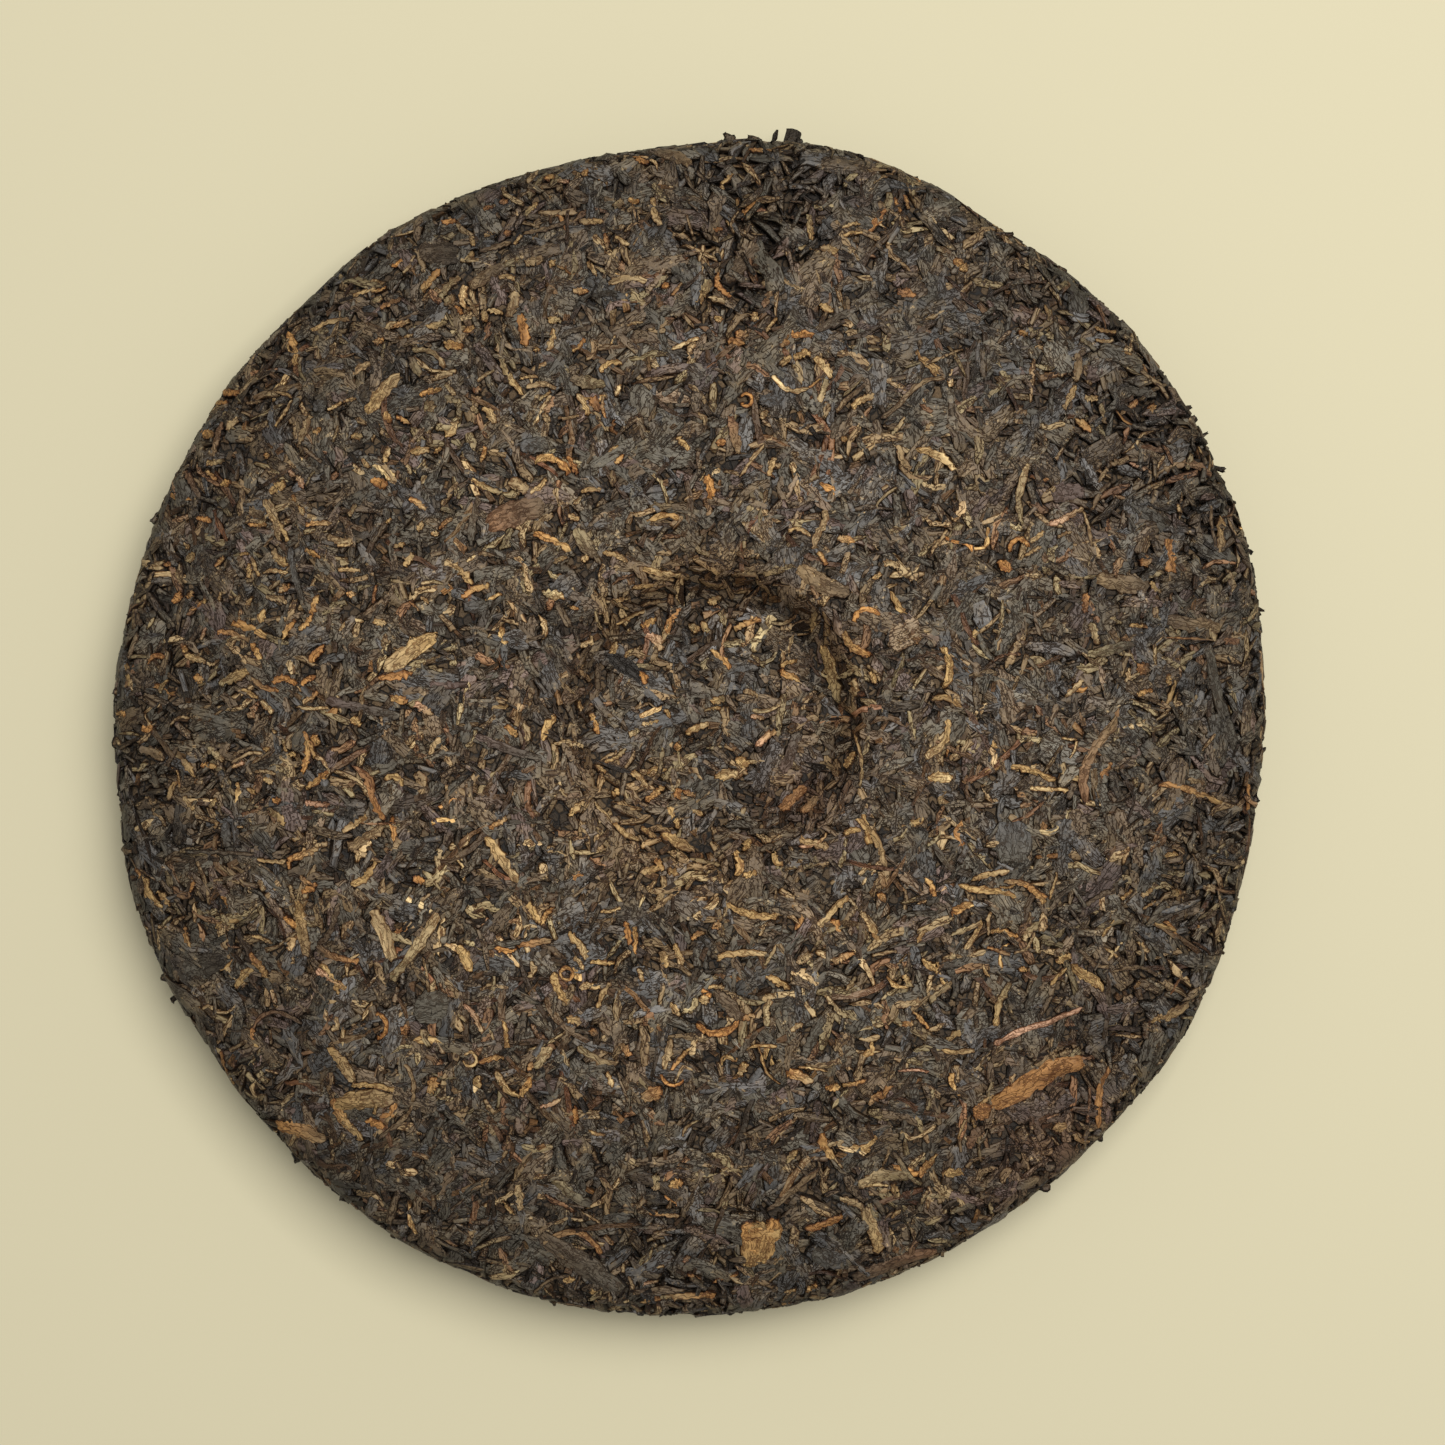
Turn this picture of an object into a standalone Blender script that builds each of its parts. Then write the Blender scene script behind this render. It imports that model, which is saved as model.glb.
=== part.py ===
"""A ripe pu-erh tea cake: dark fermented tea leaves pressed into a thick disc that holds together.

It lies with its dimpled back up, on the flat middle of its face. The whole cake is one solid: a
core with the cake's true outline, rim, dimple and picked hollow, and the largest leaves that show,
fused on at true size. Metres, +Z up. The origin is on the ground under the middle of the cake.
"""

import bisect
import math
import random

import bmesh
import bpy
from mathutils import Vector

MM = 0.001

# Driving sizes of the cake
RADIUS = 99.5 * MM
CROWN_HEIGHT = 22.6 * MM
CROWN_FALL = 1.8 * MM
SHOULDER_FALL = 5.5 * MM
SHOULDER_POWER = 8
RIM_DEPTH = 6.5 * MM
RIM_FULLNESS = 2.3
EDGE_LIFT = 5.0 * MM
EDGE_POWER = 1.25
REST_RADIUS = 34 * MM

# The outline departs from a circle by these waves: times round, height, and turn in degrees
OUTLINE_WAVES = (
    (2, 1.32 * MM, -132),
    (3, 0.42 * MM, -161),
    (4, 0.16 * MM, 134),
    (6, 0.26 * MM, -92),
    (7, 0.19 * MM, 149),
    (8, 0.16 * MM, -179),
)

# The dimple that the knot of the pressing cloth leaves, a little off the middle
DIMPLE_CENTRE = (3.5 * MM, 2.0 * MM)
DIMPLE_DEPTH = 4.8 * MM
DIMPLE_FLOOR_RADIUS = 18.8 * MM
DIMPLE_FLOOR_LEAN = 1.2 * MM
DIMPLE_LEAN_ANGLE = 45
DIMPLE_LIP_RADIUS = 25.6 * MM

# The hollow near the rim, where leaves have been picked out
HOLLOW_CENTRE = (8.2 * MM, 82.0 * MM)
HOLLOW_HALF_SIZE = (6.5 * MM, 8.5 * MM)
HOLLOW_DEPTH = 2.6 * MM

# Slow swells of the pressed surface: waves that shrink and turn by a fixed rule
SWELL_COUNT = 6
SWELL_HEIGHT = 0.28 * MM
SWELL_LENGTH = 64 * MM
SWELL_SHRINK = 0.78
SWELL_TURN = math.radians(137.5)

# How finely the core is divided
ROUND_STEPS = 60
DIMPLE_ROUND_STEPS = 30
CROWN_RINGS = 7
RIM_RINGS = 5
UNDERSIDE_RINGS = 5
MERIDIAN_STEPS = 160

# A leaf stands this far out of the core along its ridge, and its keel is sunk this deep
RIDGE_HEIGHT = 0.85 * MM
EDGE_SINK = 0.25 * MM
KEEL_SINK = 1.3 * MM
LOWEST_LEAF = 0.1 * MM
LONG_LEAF = 12.5 * MM
LONG_LEAF_STATIONS = ((0.18, 0.8), (0.52, 1.0), (0.84, 0.7))
SHORT_LEAF_STATIONS = ((0.25, 1.0), (0.72, 0.85))

# Leaves by place: how many, and the range of their lengths and widths
TOP_LEAVES = 108
RIM_LEAVES = 38
UNDERSIDE_LEAVES = 40
LEAF_LENGTHS = (8 * MM, 17 * MM)
LEAF_WIDTHS = (1.7 * MM, 3.4 * MM)
LEAF_BEND = 55
SPREAD_TRIES = 24
SEED = 357

# Leaves that stand out on the back: x, y, length, width (mm), then heading and bend (degrees)
SHOWN_LEAVES = (
    (58.1, -61.3, 20.6, 4.5, 27, 6),
    (59.2, -51.2, 17.2, 1.6, 21, -4),
    (70.0, -63.4, 12.9, 2.0, 78, 12),
    (11.1, -88.1, 8.2, 6.6, 80, 0),
    (-48.4, 12.8, 11.3, 3.4, 33, -14),
    (-53.1, 57.1, 9.2, 2.7, 48, 8),
    (2.9, 41.3, 5.6, 1.8, 95, 0),
    (82.0, 29.5, 6.9, 2.6, 93, 0),
    (43.9, 10.6, 7.6, 1.8, 88, 60),
    (-67.2, -34.2, 10.3, 2.3, -80, 10),
    (-53.2, -35.6, 9.8, 2.6, -69, -12),
    (-47.6, -37.5, 14.9, 2.1, 55, 8),
    (-56.4, -63.4, 11.3, 4.8, 5, 10),
    (-67.0, -69.4, 8.8, 3.1, -20, 0),
    (-22.4, -43.3, 9.0, 2.0, -75, 120),
    (-18.6, -91.0, 18.7, 3.6, -36, -10),
    (69.3, -5.0, 17.2, 2.1, -72, -30),
    (85.8, -11.0, 12.0, 1.8, -17, 8),
    (55.0, -19.6, 7.7, 6.9, 40, 0),
    (89.5, 4.8, 19.0, 2.4, -74, 6),
    (71.7, 25.5, 10.3, 4.3, -30, 8),
    (64.3, 40.1, 6.4, 3.4, 10, 0),
    (-56.9, 3.4, 13.7, 2.0, -12, 5),
    (-55.4, -11.2, 11.3, 1.7, -60, 18),
    (-30.0, 36.9, 9.0, 5.8, 70, 0),
    (13.2, 81.4, 8.9, 2.6, 47, -10),
    (56.7, 40.1, 12.0, 1.8, 85, 25),
)

LEAF_COLOUR = (0.062, 0.045, 0.032, 1)
LEAF_ROUGHNESS = 0.62


def smooth_step(low, high, value):
    """0 below low, 1 above high, and a smooth rise between them."""
    part = min(max((value - low) / (high - low), 0), 1)
    return part * part * (3 - 2 * part)


def outline_share(angle):
    """The outline's radius at an angle, as a share of the mean radius."""
    waves = (height * math.cos(times * angle + math.radians(turn)) for times, height, turn in OUTLINE_WAVES)
    return 1 + sum(waves) / RADIUS


def crown_height(radius):
    """The height of the back without its dimple, at a distance from the middle."""
    share = radius / RADIUS
    return CROWN_HEIGHT - CROWN_FALL * share**2 - SHOULDER_FALL * share**SHOULDER_POWER


def underside_height(radius):
    """The height of the face above the ground: flat in the middle, then slowly lifting."""
    join = RADIUS - RIM_DEPTH
    return EDGE_LIFT * max((radius - REST_RADIUS) / (join - REST_RADIUS), 0) ** EDGE_POWER


def meridian_points():
    """(radius, height) from the middle of the back, over the rim, to the middle of the face."""
    join = RADIUS - RIM_DEPTH
    top, bottom = crown_height(join), underside_height(join)
    middle, half = (top + bottom) / 2, (top - bottom) / 2
    points = []
    for step in range(MERIDIAN_STEPS):
        radius = join * step / MERIDIAN_STEPS
        points.append((radius, crown_height(radius)))
    for step in range(MERIDIAN_STEPS + 1):
        turn = math.pi * (0.5 - step / MERIDIAN_STEPS)
        out = abs(math.cos(turn)) ** (2 / RIM_FULLNESS)
        up = math.copysign(abs(math.sin(turn)) ** (2 / RIM_FULLNESS), turn)
        points.append((join + RIM_DEPTH * out, middle + half * up))
    for step in range(MERIDIAN_STEPS - 1, -1, -1):
        radius = join * step / MERIDIAN_STEPS
        points.append((radius, underside_height(radius)))
    return points


def run_lengths(points):
    """The distance along the meridian to each of its points."""
    runs = [0.0]
    for (r0, z0), (r1, z1) in zip(points, points[1:]):
        runs.append(runs[-1] + math.hypot(r1 - r0, z1 - z0))
    return runs


MERIDIAN = meridian_points()
RUNS = run_lengths(MERIDIAN)
WHOLE_RUN = RUNS[-1]
JOIN_RUN = RUNS[MERIDIAN_STEPS]
RIM_RUN = RUNS[MERIDIAN_STEPS + MERIDIAN_STEPS // 2]
LOW_JOIN_RUN = RUNS[2 * MERIDIAN_STEPS]


def meridian(run):
    """(radius, height) at a distance along the meridian."""
    run = min(max(run, 0), WHOLE_RUN)
    after = min(max(bisect.bisect_left(RUNS, run), 1), len(RUNS) - 1)
    part = (run - RUNS[after - 1]) / (RUNS[after] - RUNS[after - 1])
    (r0, z0), (r1, z1) = MERIDIAN[after - 1], MERIDIAN[after]
    return r0 + part * (r1 - r0), z0 + part * (z1 - z0)


def dent(x, y):
    """How far the dimple and the picked hollow lower the back at a point."""
    off_x, off_y = x - DIMPLE_CENTRE[0], y - DIMPLE_CENTRE[1]
    lean = math.cos(math.atan2(off_y, off_x) - math.radians(DIMPLE_LEAN_ANGLE))
    floor = DIMPLE_FLOOR_RADIUS + DIMPLE_FLOOR_LEAN * lean
    dimple = DIMPLE_DEPTH * (1 - smooth_step(floor, DIMPLE_LIP_RADIUS, math.hypot(off_x, off_y)))
    across = (x - HOLLOW_CENTRE[0]) / HOLLOW_HALF_SIZE[0]
    along = (y - HOLLOW_CENTRE[1]) / HOLLOW_HALF_SIZE[1]
    hollow = HOLLOW_DEPTH * (1 - smooth_step(0.35, 1.3, math.hypot(across, along)))
    return dimple + hollow


def unevenness(x, y):
    """The swells of the pressed surface at a point."""
    total = 0
    for number in range(SWELL_COUNT):
        shrink = SWELL_SHRINK**number
        turn = number * SWELL_TURN
        run = (x * math.cos(turn) + y * math.sin(turn)) / (SWELL_LENGTH * shrink)
        total += SWELL_HEIGHT * shrink * math.sin(math.tau * run + turn)
    return total


def skin(flat_x, flat_y, under=False):
    """The surface point over a point of the cake unrolled flat from the middle of one side."""
    reach = math.hypot(flat_x, flat_y)
    angle = math.atan2(flat_y, flat_x)
    run = WHOLE_RUN - reach if under else reach
    radius, height = meridian(run)
    radius *= 1 + (outline_share(angle) - 1) * smooth_step(0.2 * RADIUS, 0.95 * RADIUS, radius)
    point = Vector((radius * math.cos(angle), radius * math.sin(angle), height))
    if run < RIM_RUN:
        point.z -= dent(point.x, point.y)
    rough = unevenness(point.x, point.y)
    top_share = 1 - smooth_step(JOIN_RUN, LOW_JOIN_RUN, run)
    point.z += rough * top_share
    side_share = smooth_step(JOIN_RUN, RIM_RUN, run) * (1 - smooth_step(LOW_JOIN_RUN, LOW_JOIN_RUN + 20 * MM, run))
    point.x += rough * side_share * math.cos(angle)
    point.y += rough * side_share * math.sin(angle)
    return point


def skin_normal(flat_x, flat_y, under=False):
    """The direction out of the cake at a point of its surface."""
    step = 0.4 * MM
    here = skin(flat_x, flat_y, under)
    across = skin(flat_x + step, flat_y, under) - here
    along = skin(flat_x, flat_y + step, under) - here
    out = across.cross(along).normalized()
    return -out if under else out


def ring_centre(reach):
    """Rings near the dimple are drawn about it, and the outer ones about the cake's middle."""
    share = 1 - smooth_step(DIMPLE_LIP_RADIUS, 0.8 * RADIUS, reach)
    return DIMPLE_CENTRE[0] * share, DIMPLE_CENTRE[1] * share


def ring(mesh, reach, steps, under=False):
    """One ring of the core's vertices, anticlockwise seen from above."""
    centre_x, centre_y = (0, 0) if under else ring_centre(reach)
    vertices = []
    for step in range(steps):
        angle = math.tau * step / steps
        flat_x = centre_x + reach * math.cos(angle)
        flat_y = centre_y + reach * math.sin(angle)
        vertices.append(mesh.verts.new(skin(flat_x, flat_y, under)))
    return vertices


def stitch(mesh, inner, outer):
    """Faces between two rings; the outer one has as many vertices as the inner one, or twice as many."""
    ratio = len(outer) // len(inner)
    count = len(inner)
    for i in range(count):
        here, there = inner[i], inner[(i + 1) % count]
        first, last = outer[i * ratio], outer[(i + 1) * ratio % len(outer)]
        if ratio == 1:
            mesh.faces.new((here, first, last))
            mesh.faces.new((here, last, there))
            continue
        middle = outer[i * ratio + 1]
        mesh.faces.new((here, first, middle))
        mesh.faces.new((here, middle, there))
        mesh.faces.new((there, middle, last))


def ring_plan():
    """(reach, steps, under) of every ring, from the dimple's floor out, over the rim and in below."""
    floor, lip = DIMPLE_FLOOR_RADIUS, DIMPLE_LIP_RADIUS
    wall = lip - floor
    plan = [(floor * share, DIMPLE_ROUND_STEPS, False) for share in (0.4, 0.75, 1.0)]
    plan += [(floor + wall * share, ROUND_STEPS, False) for share in (0.3, 0.5, 0.7, 1.0)]
    start = lip + 0.5 * wall
    plan.append((start, ROUND_STEPS, False))
    for step in range(1, CROWN_RINGS + 1):
        share = (step / CROWN_RINGS) ** 0.85
        plan.append((start + (JOIN_RUN - start) * share, ROUND_STEPS, False))
    for step in range(1, RIM_RINGS + 1):
        plan.append((JOIN_RUN + (RIM_RUN - JOIN_RUN) * step / RIM_RINGS, ROUND_STEPS, False))
    for step in range(1, RIM_RINGS):
        plan.append((WHOLE_RUN - RIM_RUN - (LOW_JOIN_RUN - RIM_RUN) * step / RIM_RINGS, ROUND_STEPS, True))
    low_join = WHOLE_RUN - LOW_JOIN_RUN
    for step in range(UNDERSIDE_RINGS + 1):
        share = step / UNDERSIDE_RINGS
        plan.append((low_join + (REST_RADIUS - low_join) * share, ROUND_STEPS, True))
    return plan


def build_core():
    """The cake's mass: closed, with the flat spot that it rests on."""
    mesh = bmesh.new()
    middle = mesh.verts.new(skin(*DIMPLE_CENTRE))
    rings = [ring(mesh, *row) for row in ring_plan()]
    first = rings[0]
    for here, there in zip(first, first[1:] + first[:1]):
        mesh.faces.new((middle, here, there))
    for inner, outer in zip(rings, rings[1:]):
        stitch(mesh, inner, outer)
    for vertex in rings[-1]:
        vertex.co.z = 0
    mesh.faces.new(list(reversed(rings[-1])))
    return finished_object("tea_cake", mesh)


def finished_object(name, mesh):
    """An object of the mesh, linked to the scene."""
    data = bpy.data.meshes.new(name)
    mesh.to_mesh(data)
    mesh.free()
    made = bpy.data.objects.new(name, data)
    bpy.context.scene.collection.objects.link(made)
    return made


def leaf_centre_line(length, bend, share):
    """(along, across, turn) of a bent strip's middle line, as a share of its length."""
    turn = math.radians(bend) * (share - 0.5)
    if abs(bend) < 1:
        return length * (share - 0.5), 0.0, 0.0
    radius = length / math.radians(bend)
    return radius * math.sin(turn), radius * (1 - math.cos(turn)), turn


def build_leaf(name, flat_x, flat_y, length, width, heading, bend, under=False):
    """A pressed leaf: a bent strip with pointed ends, a low ridge, and a keel sunk into the core."""
    mesh = bmesh.new()
    heading = math.radians(heading)
    lean = 0.12 * width * (1 if bend >= 0 else -1)

    def vertex(share, side, lift):
        """A vertex at a share of the length, this far to one side and out of the core."""
        along, across, turn = leaf_centre_line(length, bend, share)
        along -= side * math.sin(turn)
        across += side * math.cos(turn)
        x = flat_x + along * math.cos(heading) - across * math.sin(heading)
        y = flat_y + along * math.sin(heading) + across * math.cos(heading)
        point = skin(x, y, under) + lift * skin_normal(x, y, under)
        point.z = max(point.z, LOWEST_LEAF)
        return mesh.verts.new(point)

    sections = []
    for share, part in LONG_LEAF_STATIONS if length > LONG_LEAF else SHORT_LEAF_STATIONS:
        half = 0.5 * width * part
        ridge = RIDGE_HEIGHT * (0.75 + 0.25 * part)
        section = (
            vertex(share, -half, -EDGE_SINK),
            vertex(share, lean, ridge),
            vertex(share, half, -EDGE_SINK),
            vertex(share, 0, -KEEL_SINK),
        )
        sections.append(section)
    start = vertex(0, 0, -EDGE_SINK)
    end = vertex(1, 0, -EDGE_SINK)
    for i in range(4):
        j = (i + 1) % 4
        mesh.faces.new((start, sections[0][j], sections[0][i]))
        mesh.faces.new((end, sections[-1][i], sections[-1][j]))
        for near, far in zip(sections, sections[1:]):
            mesh.faces.new((near[i], near[j], far[i]))
            mesh.faces.new((near[j], far[j], far[i]))
    bmesh.ops.recalc_face_normals(mesh, faces=mesh.faces)
    return finished_object(name, mesh)


def spread_places(draw, count, taken, inner, outer):
    """Places spread evenly in a ring of the unrolled surface: each is the farthest from all others of some tries."""
    places = []
    for _ in range(count):
        best, best_gap = None, -1
        for _ in range(SPREAD_TRIES):
            reach = math.sqrt(draw.uniform(inner**2, outer**2))
            angle = draw.uniform(0, math.tau)
            place = (reach * math.cos(angle), reach * math.sin(angle))
            gap = min((math.dist(place, other) for other in taken), default=math.inf)
            if gap > best_gap:
                best, best_gap = place, gap
        places.append(best)
        taken.append(best)
    return places


def spread_sizes(draw, count):
    """Lengths, widths and bends of leaves, the largest first."""
    sizes = []
    for _ in range(count):
        length = draw.uniform(*LEAF_LENGTHS)
        width = draw.uniform(*LEAF_WIDTHS)
        sizes.append((length, width, draw.uniform(-LEAF_BEND, LEAF_BEND)))
    return sorted(sizes, reverse=True)


def near_dimple_wall(place):
    """Whether a place is on the dimple's wall or lip, where a leaf lies along the wall."""
    reach = math.dist(place, DIMPLE_CENTRE)
    return DIMPLE_FLOOR_RADIUS - 3 * MM < reach < DIMPLE_LIP_RADIUS + 3 * MM


def build_leaves():
    """Every leaf that is large enough to be in the solid, in a collection of its own."""
    draw = random.Random(SEED)
    leaves = []
    taken = []
    for number, (x, y, length, width, heading, bend) in enumerate(SHOWN_LEAVES):
        name = f"shown_leaf_{number}"
        leaves.append(build_leaf(name, x * MM, y * MM, length * MM, width * MM, heading, bend))
        taken.append((x * MM, y * MM))
    top_places = spread_places(draw, TOP_LEAVES, taken, 0, JOIN_RUN - 3 * MM)
    for place, size in zip(top_places, spread_sizes(draw, TOP_LEAVES)):
        heading = draw.uniform(0, 360)
        length, width, bend = size
        if near_dimple_wall(place):
            aim = math.atan2(place[1] - DIMPLE_CENTRE[1], place[0] - DIMPLE_CENTRE[0])
            heading, bend = math.degrees(aim) + 90, 20
            length = min(length, 10 * MM)
        leaves.append(build_leaf(f"top_leaf_{len(leaves)}", *place, length, width, heading, bend))
    rim_places = spread_places(draw, RIM_LEAVES, [], RIM_RUN - 2.5 * MM, RIM_RUN + 2.5 * MM)
    for place, size in zip(rim_places, spread_sizes(draw, RIM_LEAVES)):
        length, width, bend = size
        along_rim = math.degrees(math.atan2(place[1], place[0])) + 90
        heading = along_rim + draw.uniform(-35, 35)
        leaves.append(build_leaf(f"rim_leaf_{len(leaves)}", *place, 0.8 * length, width, heading, 0.3 * bend))
    low_rim = WHOLE_RUN - LOW_JOIN_RUN - 2 * MM
    low_places = spread_places(draw, UNDERSIDE_LEAVES, [], REST_RADIUS + LEAF_LENGTHS[1], low_rim)
    for place, size in zip(low_places, spread_sizes(draw, UNDERSIDE_LEAVES)):
        length, width, bend = size
        heading = draw.uniform(0, 360)
        leaves.append(build_leaf(f"low_leaf_{len(leaves)}", *place, length, width, heading, bend, under=True))
    collection = bpy.data.collections.new("leaves")
    bpy.context.scene.collection.children.link(collection)
    for leaf in leaves:
        bpy.context.scene.collection.objects.unlink(leaf)
        collection.objects.link(leaf)
    return collection


def fuse(core, pieces):
    """Joins the pieces to the core by one union, and removes their own objects."""
    union = core.modifiers.new("pressed_together", "BOOLEAN")
    union.operation = "UNION"
    union.operand_type = "COLLECTION"
    union.collection = pieces
    union.solver = "MANIFOLD"
    bpy.context.view_layer.objects.active = core
    core.select_set(True)
    bpy.ops.object.modifier_apply(modifier=union.name)
    for piece in list(pieces.objects):
        bpy.data.objects.remove(piece)
    bpy.data.collections.remove(pieces)


def keep_whole_cake(core):
    """Drops what the union may leave loose: every shell but the largest, a sealed hollow's wall among them."""
    mesh = bmesh.new()
    mesh.from_mesh(core.data)
    left = set(mesh.verts)
    shells = []
    while left:
        shell, open_ends = set(), [left.pop()]
        while open_ends:
            vertex = open_ends.pop()
            shell.add(vertex)
            for edge in vertex.link_edges:
                other = edge.other_vert(vertex)
                if other in left:
                    left.remove(other)
                    open_ends.append(other)
        shells.append(shell)
    largest = max(shells, key=len)
    loose = [vertex for shell in shells if shell is not largest for vertex in shell]
    bmesh.ops.delete(mesh, geom=loose, context="VERTS")
    bmesh.ops.triangulate(mesh, faces=mesh.faces)
    mesh.to_mesh(core.data)
    mesh.free()


def tea_material():
    """Dark brown pressed leaf with a dull sheen."""
    material = bpy.data.materials.new("pressed_tea")
    material.use_nodes = True
    shader = material.node_tree.nodes["Principled BSDF"]
    shader.inputs["Base Color"].default_value = LEAF_COLOUR
    shader.inputs["Roughness"].default_value = LEAF_ROUGHNESS
    shader.inputs["Metallic"].default_value = 0
    return material


def clear_scene():
    """Removes whatever the scene holds."""
    for thing in list(bpy.data.objects):
        bpy.data.objects.remove(thing)


def main():
    clear_scene()
    cake = build_core()
    fuse(cake, build_leaves())
    keep_whole_cake(cake)
    cake.data.materials.append(tea_material())
    cake.data.shade_smooth()
    cake.data.set_sharp_from_angle(angle=math.radians(35))


main()
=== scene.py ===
"""Looks of a ripe pu-erh tea cake: a dark core covered all over by pressed leaves.

Every leaf is a thin closed shape of true size. Each kind of leaf is modelled once or a few times,
and its copies are laid on the cake's surface and pressed level, so that they lap over each other as
in a real cake. Sizes in the tables are in millimetres, and everything built from them is in metres.
"""

import math

import bpy
import numpy as np
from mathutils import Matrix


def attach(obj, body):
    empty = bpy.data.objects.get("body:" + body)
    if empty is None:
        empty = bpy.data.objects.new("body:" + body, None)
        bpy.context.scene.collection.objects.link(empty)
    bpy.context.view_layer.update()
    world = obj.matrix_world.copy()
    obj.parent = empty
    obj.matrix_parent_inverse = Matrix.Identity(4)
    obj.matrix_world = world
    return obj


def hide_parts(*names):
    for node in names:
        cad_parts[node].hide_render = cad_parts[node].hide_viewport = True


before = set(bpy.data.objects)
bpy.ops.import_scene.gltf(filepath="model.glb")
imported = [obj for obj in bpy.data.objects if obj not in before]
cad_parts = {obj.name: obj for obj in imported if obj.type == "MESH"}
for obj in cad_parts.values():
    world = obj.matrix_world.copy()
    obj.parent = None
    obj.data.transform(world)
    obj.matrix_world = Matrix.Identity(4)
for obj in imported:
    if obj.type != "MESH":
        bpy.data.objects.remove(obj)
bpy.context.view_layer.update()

MM = 0.001

# The cake's form, as the solid has it
RADIUS = 99.5
CROWN_HEIGHT = 22.6
CROWN_FALL = 1.8
SHOULDER_FALL = 5.5
SHOULDER_POWER = 8
RIM_DEPTH = 6.5
JOIN_RADIUS = RADIUS - RIM_DEPTH
RIM_FULLNESS = 2.3
EDGE_LIFT = 5.0
EDGE_POWER = 1.25
REST_RADIUS = 34.0
# Waves of the outline: how many go round, height and turn; and the shares of the radius where they grow
OUTLINE_WAVES = (
    (2, 1.32, -132),
    (3, 0.42, -161),
    (4, 0.16, 134),
    (6, 0.26, -92),
    (7, 0.19, 149),
    (8, 0.16, -179),
)
WAVES_GROW = (0.2, 0.95)
DIMPLE_CENTRE = (3.5, 2.0)
DIMPLE_DEPTH = 4.8
DIMPLE_FLOOR_RADIUS = 18.8
DIMPLE_FLOOR_LEAN = 1.2
DIMPLE_LEAN_ANGLE = 45
DIMPLE_LIP_RADIUS = 25.6
HOLLOW_CENTRE = (8.2, 82.0)
HOLLOW_HALF_SIZE = (6.5, 8.5)
HOLLOW_DEPTH = 2.6
HOLLOW_EDGE = (0.35, 1.3)
SWELL_COUNT = 6
SWELL_HEIGHT = 0.28
SWELL_LENGTH = 64.0
SWELL_SHRINK = 0.78
FLANK_FADE = 20
GOLDEN_ANGLE = math.radians(137.5)
MERIDIAN_STEPS = 160
SKIN_STEP = 0.3

# No leaf reaches below this height, and leaves below the second one are pressed flatter towards it
LOWEST_POINT = 0.05
SETTLED_BELOW = 0.45


def smooth_step(low, high, value):
    """0 below low, 1 above high, and a smooth rise between them."""
    part = np.clip((value - low) / (high - low), 0, 1)
    return part * part * (3 - 2 * part)


def crown_height(radius):
    share = radius / RADIUS
    return CROWN_HEIGHT - CROWN_FALL * share**2 - SHOULDER_FALL * share**SHOULDER_POWER


def underside_height(radius):
    rise = np.maximum((radius - REST_RADIUS) / (JOIN_RADIUS - REST_RADIUS), 0)
    return EDGE_LIFT * rise**EDGE_POWER


def meridian_points():
    """Radii and heights from the middle of the back, over the rim, to the middle of the face."""
    top, bottom = crown_height(JOIN_RADIUS), underside_height(JOIN_RADIUS)
    middle, half = (top + bottom) / 2, (top - bottom) / 2
    inner = JOIN_RADIUS * (np.arange(MERIDIAN_STEPS) / MERIDIAN_STEPS)
    turn = np.pi * (0.5 - np.arange(MERIDIAN_STEPS + 1) / MERIDIAN_STEPS)
    out = np.abs(np.cos(turn)) ** (2 / RIM_FULLNESS)
    up = np.sign(turn) * np.abs(np.sin(turn)) ** (2 / RIM_FULLNESS)
    radii = np.concatenate([inner, JOIN_RADIUS + RIM_DEPTH * out, inner[::-1]])
    heights = np.concatenate([crown_height(inner), middle + half * up, underside_height(inner[::-1])])
    return radii, heights


MERIDIAN_RADII, MERIDIAN_HEIGHTS = meridian_points()
MERIDIAN_GAPS = np.hypot(np.diff(MERIDIAN_RADII), np.diff(MERIDIAN_HEIGHTS))
MERIDIAN_RUNS = np.concatenate([[0], np.cumsum(MERIDIAN_GAPS)])
STEPS_TO_RIM = MERIDIAN_STEPS + MERIDIAN_STEPS // 2
# Lengths along the skin from the middle of the back: to the middle of the face, to where the rim starts,
# to its outermost line and to where it ends below
WHOLE_RUN = MERIDIAN_RUNS[-1]
JOIN_RUN = MERIDIAN_RUNS[MERIDIAN_STEPS]
RIM_RUN = MERIDIAN_RUNS[STEPS_TO_RIM]
LOW_JOIN_RUN = MERIDIAN_RUNS[2 * MERIDIAN_STEPS]


def outline_share(angle):
    waves = sum(height * np.cos(times * angle + math.radians(turn)) for times, height, turn in OUTLINE_WAVES)
    return 1 + waves / RADIUS


def stretch(angle, radius):
    """How far the outline's waves push the cake out here: not near its middle, and fully at its rim."""
    grown = smooth_step(WAVES_GROW[0] * RADIUS, WAVES_GROW[1] * RADIUS, radius)
    return 1 + (outline_share(angle) - 1) * grown


def dent(x, y):
    """How far the dimple and the picked hollow lower the back."""
    off_x, off_y = x - DIMPLE_CENTRE[0], y - DIMPLE_CENTRE[1]
    reach = np.hypot(off_x, off_y)
    lean = np.cos(np.arctan2(off_y, off_x) - math.radians(DIMPLE_LEAN_ANGLE))
    floor = DIMPLE_FLOOR_RADIUS + DIMPLE_FLOOR_LEAN * lean
    dimple = DIMPLE_DEPTH * (1 - smooth_step(floor, DIMPLE_LIP_RADIUS, reach))
    across = (x - HOLLOW_CENTRE[0]) / HOLLOW_HALF_SIZE[0]
    along = (y - HOLLOW_CENTRE[1]) / HOLLOW_HALF_SIZE[1]
    return dimple + HOLLOW_DEPTH * (1 - smooth_step(*HOLLOW_EDGE, np.hypot(across, along)))


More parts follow.
